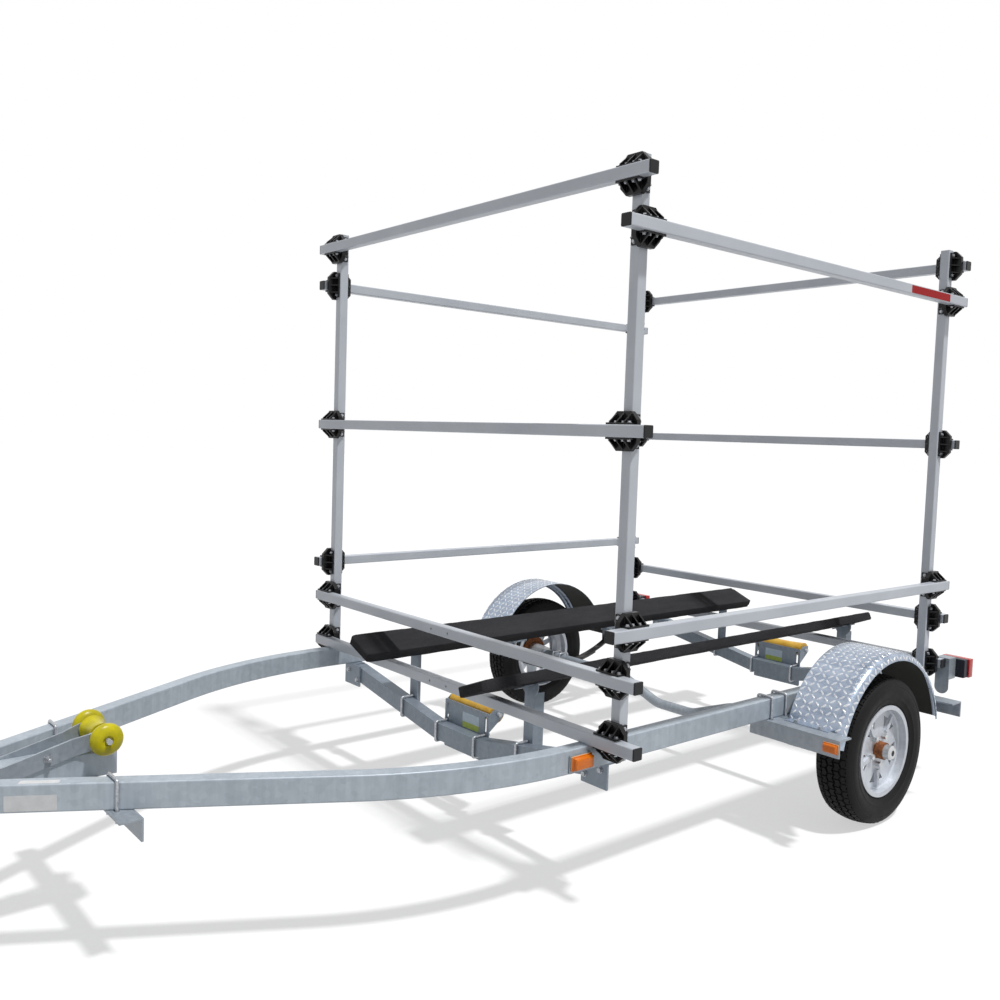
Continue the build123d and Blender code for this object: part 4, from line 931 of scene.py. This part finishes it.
def moulded(name, color, roughness, grain):
    """Black moulded plastic with a fine grain and a film of dust."""
    finish, tree, shader = new_finish(name)
    shader.inputs["Specular IOR Level"].default_value = 0.3
    mask = with_dust(tree, shader, color, (0.05, 0.05, 0.05, 1), 0.05, 30.0)
    tree.links.new(spread(tree, mask, 0.0, 0.3, roughness, roughness + 0.2), shader.inputs["Roughness"])
    grains = noise(tree, object_place(tree), grain)
    tree.links.new(relief(tree, grains, 0.1, 0.0004), shader.inputs["Normal"])
    return finish


cap_black = moulded("cap_black", (0.006, 0.0065, 0.008, 1), 0.4, 700.0)
dress(cap_black, "bar_end_caps")


# Cross clamps: ribbed mouldings of glossy black nylon, one wherever a bar meets an upright.
# Small plated bolts stand on the shelves, between the ribs, with a washer under each head.
clamp_black = moulded("clamp_black", (0.003, 0.003, 0.004, 1), 0.3, 900.0)
clamp_nodes = [f"clamps_{end}_{side}" for end in ("front", "rear") for side in ("left", "right")]
dress(clamp_black, *clamp_nodes)
ease_edges(0.0008, *clamp_nodes)

half_tube = 0.01905
clamp_web = 0.016
clamp_shelf = 0.006
bolt_depth = 0.017
bar_bolts = (-0.038, -0.015, 0.015, 0.038)
post_bolts = (-0.041, 0.041)
cross_rises = (0.0, 0.196, 0.949, 1.704)
side_rises = (0.342, 1.551)
cross_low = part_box("front_cross_bars")[0].z + half_tube
shelf_out = half_tube + clamp_shelf
clamp_bolt_places = []
for end_name, end in (("front", 1), ("rear", -1)):
    for side_name, side in (("left", 1), ("right", -1)):
        low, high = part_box(f"upright_{end_name}_{side_name}")
        middle = (low + high) / 2
        seats = [(rise, Vector((end, 0, 0)), Vector((0, 1, 0))) for rise in cross_rises]
        seats += [(rise, Vector((0, side, 0)), Vector((1, 0, 0))) for rise in side_rises]
        for rise, outward, along in seats:
            seat = Vector((middle.x, middle.y, cross_low + rise))
            for up in (1, -1):
                shelf = Vector((0, 0, up))
                for offset in bar_bolts:
                    spot = seat + shelf * shelf_out + along * offset
                    spot += outward * (half_tube + clamp_web + bolt_depth)
                    clamp_bolt_places.append(standing(spot, shelf))
                for offset in post_bolts:
                    spot = seat + along * up * shelf_out + Vector((0, 0, offset))
                    spot += outward * (half_tube - bolt_depth)
                    clamp_bolt_places.append(standing(spot, along * up))
clamp_bolt = hex_head(radius=0.0054, height=0.004, washer_radius=0.0072, washer_thickness=0.0012)
clamp_bolts = place_copies(clamp_bolt, clamp_bolt_places, "clamp_bolts")
clamp_bolts.data.materials.append(bolt_finish)
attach(clamp_bolts, "chassis")


# Lamps: amber side markers and red tail lamps, each a moulded lens raised from a flat flange.
# The lenses are welded to dark or pale housings and screwed to the brackets.
lens_wall = 0.7
lens_face_inset = 0.8
lens_round = 0.0016


def lens_finish(name, color):
    """Clear tinted plastic over a reflector of fine prisms."""
    finish, tree, shader = new_finish(name, Roughness=0.2, Coat_Weight=0.12, Subsurface_Weight=0.1)
    shader.inputs["Specular IOR Level"].default_value = 0.35
    prism = noise(tree, object_place(tree), 260.0, 1.0)
    deep = tuple(part * 0.6 for part in color[:3]) + (1,)
    tree.links.new(tint(tree, prism, deep, color), shader.inputs["Base Color"])
    tree.links.new(relief(tree, prism, 0.2, 0.0008), shader.inputs["Normal"])
    return finish


def raised_lens(length, height, depth, flange, rim):
    """A lens with a domed front on a flange, standing on the origin with its front up."""
    deselect()
    bpy.ops.mesh.primitive_cube_add(size=1, location=(0, 0, 0))
    edit()
    bpy.ops.transform.resize(value=(length, height, flange), center_override=(0, 0, 0))
    bpy.ops.mesh.select_mode(type="FACE")
    bpy.ops.mesh.select_all(action="DESELECT")
    bpy.ops.object.mode_set(mode="OBJECT")
    lens = bpy.context.object
    for face in lens.data.polygons:
        face.select = face.normal.z > 0.9
    bpy.ops.object.mode_set(mode="EDIT")
    bpy.ops.mesh.inset(thickness=rim)
    dome = depth - flange
    draw_out((0, 0, dome * lens_wall))
    bpy.ops.mesh.inset(thickness=rim * lens_face_inset)
    bpy.ops.transform.translate(value=(0, 0, dome * (1 - lens_wall)))
    bpy.ops.object.mode_set(mode="OBJECT")
    lens.data.transform(Matrix.Translation((0, 0, flange / 2)))
    round_off = lens.modifiers.new("round", "BEVEL")
    round_off.width = lens_round
    round_off.segments = 3
    round_off.limit_method = "ANGLE"
    round_off.angle_limit = math.radians(20)
    pick(lens)
    bpy.ops.object.modifier_apply(modifier="round")
    return settle(lens, "lens")


amber = lens_finish("amber_lens", (0.95, 0.22, 0.003, 1))
red = lens_finish("red_lens", (0.6, 0.006, 0.006, 1))
pale_flange, tree, shader = new_finish("pale_flange")
grime = with_dust(tree, shader, (0.78, 0.5, 0.3, 1), (0.4, 0.36, 0.3, 1), 0.25, 60.0)
tree.links.new(spread(tree, grime, 0.0, 0.4, 0.3, 0.5), shader.inputs["Roughness"])


def face_matrix(across, up):
    """The turn that lays a piece's X across a face and its Y up it."""
    return Matrix((across, up, across.cross(up))).transposed().to_4x4()


def fit_lenses(node, name, lens, base, flange, rim):
    """Put a raised lens where each lens of a CAD node is, facing away from what carries it."""
    lenses = []
    for low, high in solids(node):
        size = high - low
        spot = (low + high) / 2
        if size.y < size.x and node == "marker_lamps":
            sign = 1 if spot.y > 0 else -1
            across, length, depth = Vector((-sign, 0, 0)), size.x, size.y
            spot.y = low.y if sign > 0 else high.y
        else:
            sign = 1 if node == "marker_lamps" else -1
            across, length, depth = Vector((0, sign, 0)), size.y, size.x
            spot.x = low.x if sign > 0 else high.x
        piece = raised_lens(length, size.z, depth, depth * flange, rim)
        piece.data.materials.append(lens)
        piece.data.materials.append(base)
        for face in piece.data.polygons:
            face.material_index = 1 if face.center.z < depth * flange * 0.8 else 0
        piece.data.transform(Matrix.Translation(spot) @ face_matrix(across, Vector((0, 0, 1))))
        lenses.append(piece)
    lenses = joined(lenses, name)
    smooth(lenses, 30)
    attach(lenses, "chassis")
    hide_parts(node)


fit_lenses("marker_lamps", "marker_lenses", amber, pale_flange, 0.35, 0.004)
fit_lenses("tail_lamp_lenses", "tail_lenses", red, red, 0.75, 0.008)
lamp_black = moulded("lamp_black", (0.014, 0.016, 0.026, 1), 0.4, 500.0)
dress(lamp_black, "tail_lamp_housings")
ease_edges(0.004, "tail_lamp_housings")


# Labels and tape: blank vinyl labels on the left rail's nose and on the keel brackets, and a strip of red
# reflective tape near the tail of the left top bar. All are pressed onto clean metal.
label_thickness = 0.0003
label_corner = 0.003
rail_angle = math.radians(30)
rail_start = Vector((0.645, 0.6194, 0))
side_label_along, side_label_height = 0.825, 0.454
top_label_along, top_label_inset = 0.808, 0.018
keel_label_height = 0.355
tape_at = -1.815


def label(name, finish, width, height, spot, across, up, slot):
    """A thin label with round corners on a face, from its middle and its directions across and up."""
    deselect()
    bpy.ops.mesh.primitive_plane_add(size=1, location=(0, 0, 0))
    edit()
    bpy.ops.transform.resize(value=(width, height, 1), center_override=(0, 0, 0))
    bpy.ops.mesh.bevel(offset=label_corner, segments=3, affect="VERTICES")
    bpy.ops.mesh.select_all(action="SELECT")
    draw_out((0, 0, label_thickness))
    piece = close()
    piece.data.transform(Matrix.Translation(spot) @ face_matrix(across, up))
    piece = settle(piece, name)
    piece.data.materials.append(finish)
    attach(piece, "chassis")


white_label, tree, shader = new_finish("white_label")
grime = with_dust(tree, shader, (0.72, 0.73, 0.74, 1), (0.4, 0.41, 0.42, 1), 0.35, 40.0)
tree.links.new(spread(tree, grime, 0.0, 0.4, 0.3, 0.55), shader.inputs["Roughness"])

split_height = 0.348
green_label, tree, shader = new_finish("green_label", Roughness=0.4)
place = object_place(tree)
height = shader_node(tree, "ShaderNodeSeparateXYZ", {"Vector": place}).outputs["Z"]
upper = sums(tree, "GREATER_THAN", height, split_height)
faded = spread(tree, noise(tree, place, 60.0), 0.3, 0.7)
lower_color = tint(tree, faded, (0.38, 0.48, 0.06, 1), (0.5, 0.58, 0.1, 1))
upper_color = tint(tree, faded, (0.5, 0.62, 0.72, 1), (0.62, 0.72, 0.8, 1))
tree.links.new(tint(tree, upper, lower_color, upper_color), shader.inputs["Base Color"])

red_tape, tree, shader = new_finish("red_tape", Roughness=0.5)
shader.inputs["Specular IOR Level"].default_value = 0.15
cells = shader_node(
    tree, "ShaderNodeTexVoronoi", {"Vector": object_place(tree), "Scale": 320.0}
).outputs["Distance"]
tree.links.new(
    tint(tree, cells, (0.3, 0.003, 0.005, 1), (0.46, 0.01, 0.013, 1)), shader.inputs["Base Color"]
)
tree.links.new(relief(tree, cells, 0.15, 0.0004), shader.inputs["Normal"])

upward = Vector((0, 0, 1))
rail_run = Vector((math.cos(rail_angle), -math.sin(rail_angle), 0))
rail_out = Vector((math.sin(rail_angle), math.cos(rail_angle), 0))
side_spot = rail_start + rail_run * side_label_along + upward * side_label_height
label("rail_label_side", white_label, 0.13, 0.042, side_spot, -rail_run, upward, "galvanised")
top_spot = rail_start + rail_run * top_label_along - rail_out * top_label_inset
top_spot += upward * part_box("rail_left")[1].z
label("rail_label_top", white_label, 0.1, 0.024, top_spot, -rail_run, -rail_out, "galvanised")
for end, across in (("front", 0.028), ("rear", -0.02)):
    spot = Vector((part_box(f"keel_bracket_{end}")[1].x, across, keel_label_height))
    label(f"keel_label_{end}", green_label, 0.1, 0.058, spot, Vector((0, 1, 0)), upward, "galvanised")
bar_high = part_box("side_bars_left")[1]
tape_spot = Vector((tape_at, bar_high.y, bar_high.z - half_tube))
label("red_tape_left", red_tape, 0.32, 0.03, tape_spot, Vector((-1, 0, 0)), upward, "red")


# Studio: a plain pale floor under even light, with one soft lamp high on the left.
# The camera stands where the photographer stood, close to the trailer's left front corner.
floor_radius = 60
floor_tone = 0.46
floor_glow = 0.56
room_light, room_seen = 0.28, 1.0
deselect()
bpy.ops.mesh.primitive_circle_add(
    vertices=96, radius=floor_radius, fill_type="NGON", location=(0, 0, 0)
)
floor = bpy.context.object
floor.name = "floor"
floor_finish, tree, shader = new_finish(
    "floor_pale", Base_Color=(floor_tone, floor_tone, floor_tone, 1), Roughness=1.0
)
shader.inputs["Specular IOR Level"].default_value = 0.0


def seen_rays(tree):
    """1 for the rays that show the background: the camera's, reflections and light through glass."""
    rays = shader_node(tree, "ShaderNodeLightPath")
    seen = sums(tree, "ADD", rays.outputs["Is Camera Ray"], rays.outputs["Is Glossy Ray"])
    return sums(tree, "ADD", seen, rays.outputs["Is Transmission Ray"], clamp=True)


shader.inputs["Emission Color"].default_value = (1, 1, 1, 1)
tree.links.new(sums(tree, "MULTIPLY", seen_rays(tree), floor_glow), shader.inputs["Emission Strength"])
floor.data.materials.append(floor_finish)
floor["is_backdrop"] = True

world = bpy.data.worlds.new("studio")
bpy.context.scene.world = world
world.use_nodes = True
background = world.node_tree.nodes["Background"]
strength = spread(world.node_tree, seen_rays(world.node_tree), 0.0, 1.0, room_light, room_seen)
world.node_tree.links.new(strength, background.inputs["Strength"])
background.inputs["Color"].default_value = (1, 1, 1, 1)

sun_from = Vector((-0.05, 0.42, 1.0))
sun = bpy.data.lights.new("key", "SUN")
sun.energy = 2.7
sun.angle = math.radians(4)
key = bpy.data.objects.new("key", sun)
key.rotation_mode = "QUATERNION"
key.rotation_quaternion = sun_from.to_track_quat("Z", "Y")
bpy.context.scene.collection.objects.link(key)

camera_at = Vector((1.999, 2.8325, 1.4455))
camera_yaw, camera_pitch, camera_roll = (math.radians(angle) for angle in (230.11, -3.82, 1.88))
ahead = Vector((
    math.cos(camera_pitch) * math.cos(camera_yaw), math.cos(camera_pitch) * math.sin(camera_yaw),
    math.sin(camera_pitch),
))
level = ahead.cross(Vector((0, 0, 1))).normalized()
lift = level.cross(ahead)
right = math.cos(camera_roll) * level + math.sin(camera_roll) * lift
top = -math.sin(camera_roll) * level + math.cos(camera_roll) * lift
optics = bpy.data.cameras.new("camera")
optics.lens = 34.45
optics.sensor_width = 36.0
optics.clip_end = 200.0
camera = bpy.data.objects.new("camera", optics)
camera.matrix_world = Matrix.Translation(camera_at) @ Matrix((right, top, -ahead)).transposed().to_4x4()
bpy.context.scene.collection.objects.link(camera)
bpy.context.scene.camera = camera
bpy.context.scene.view_settings.view_transform = "Standard"

low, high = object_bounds()
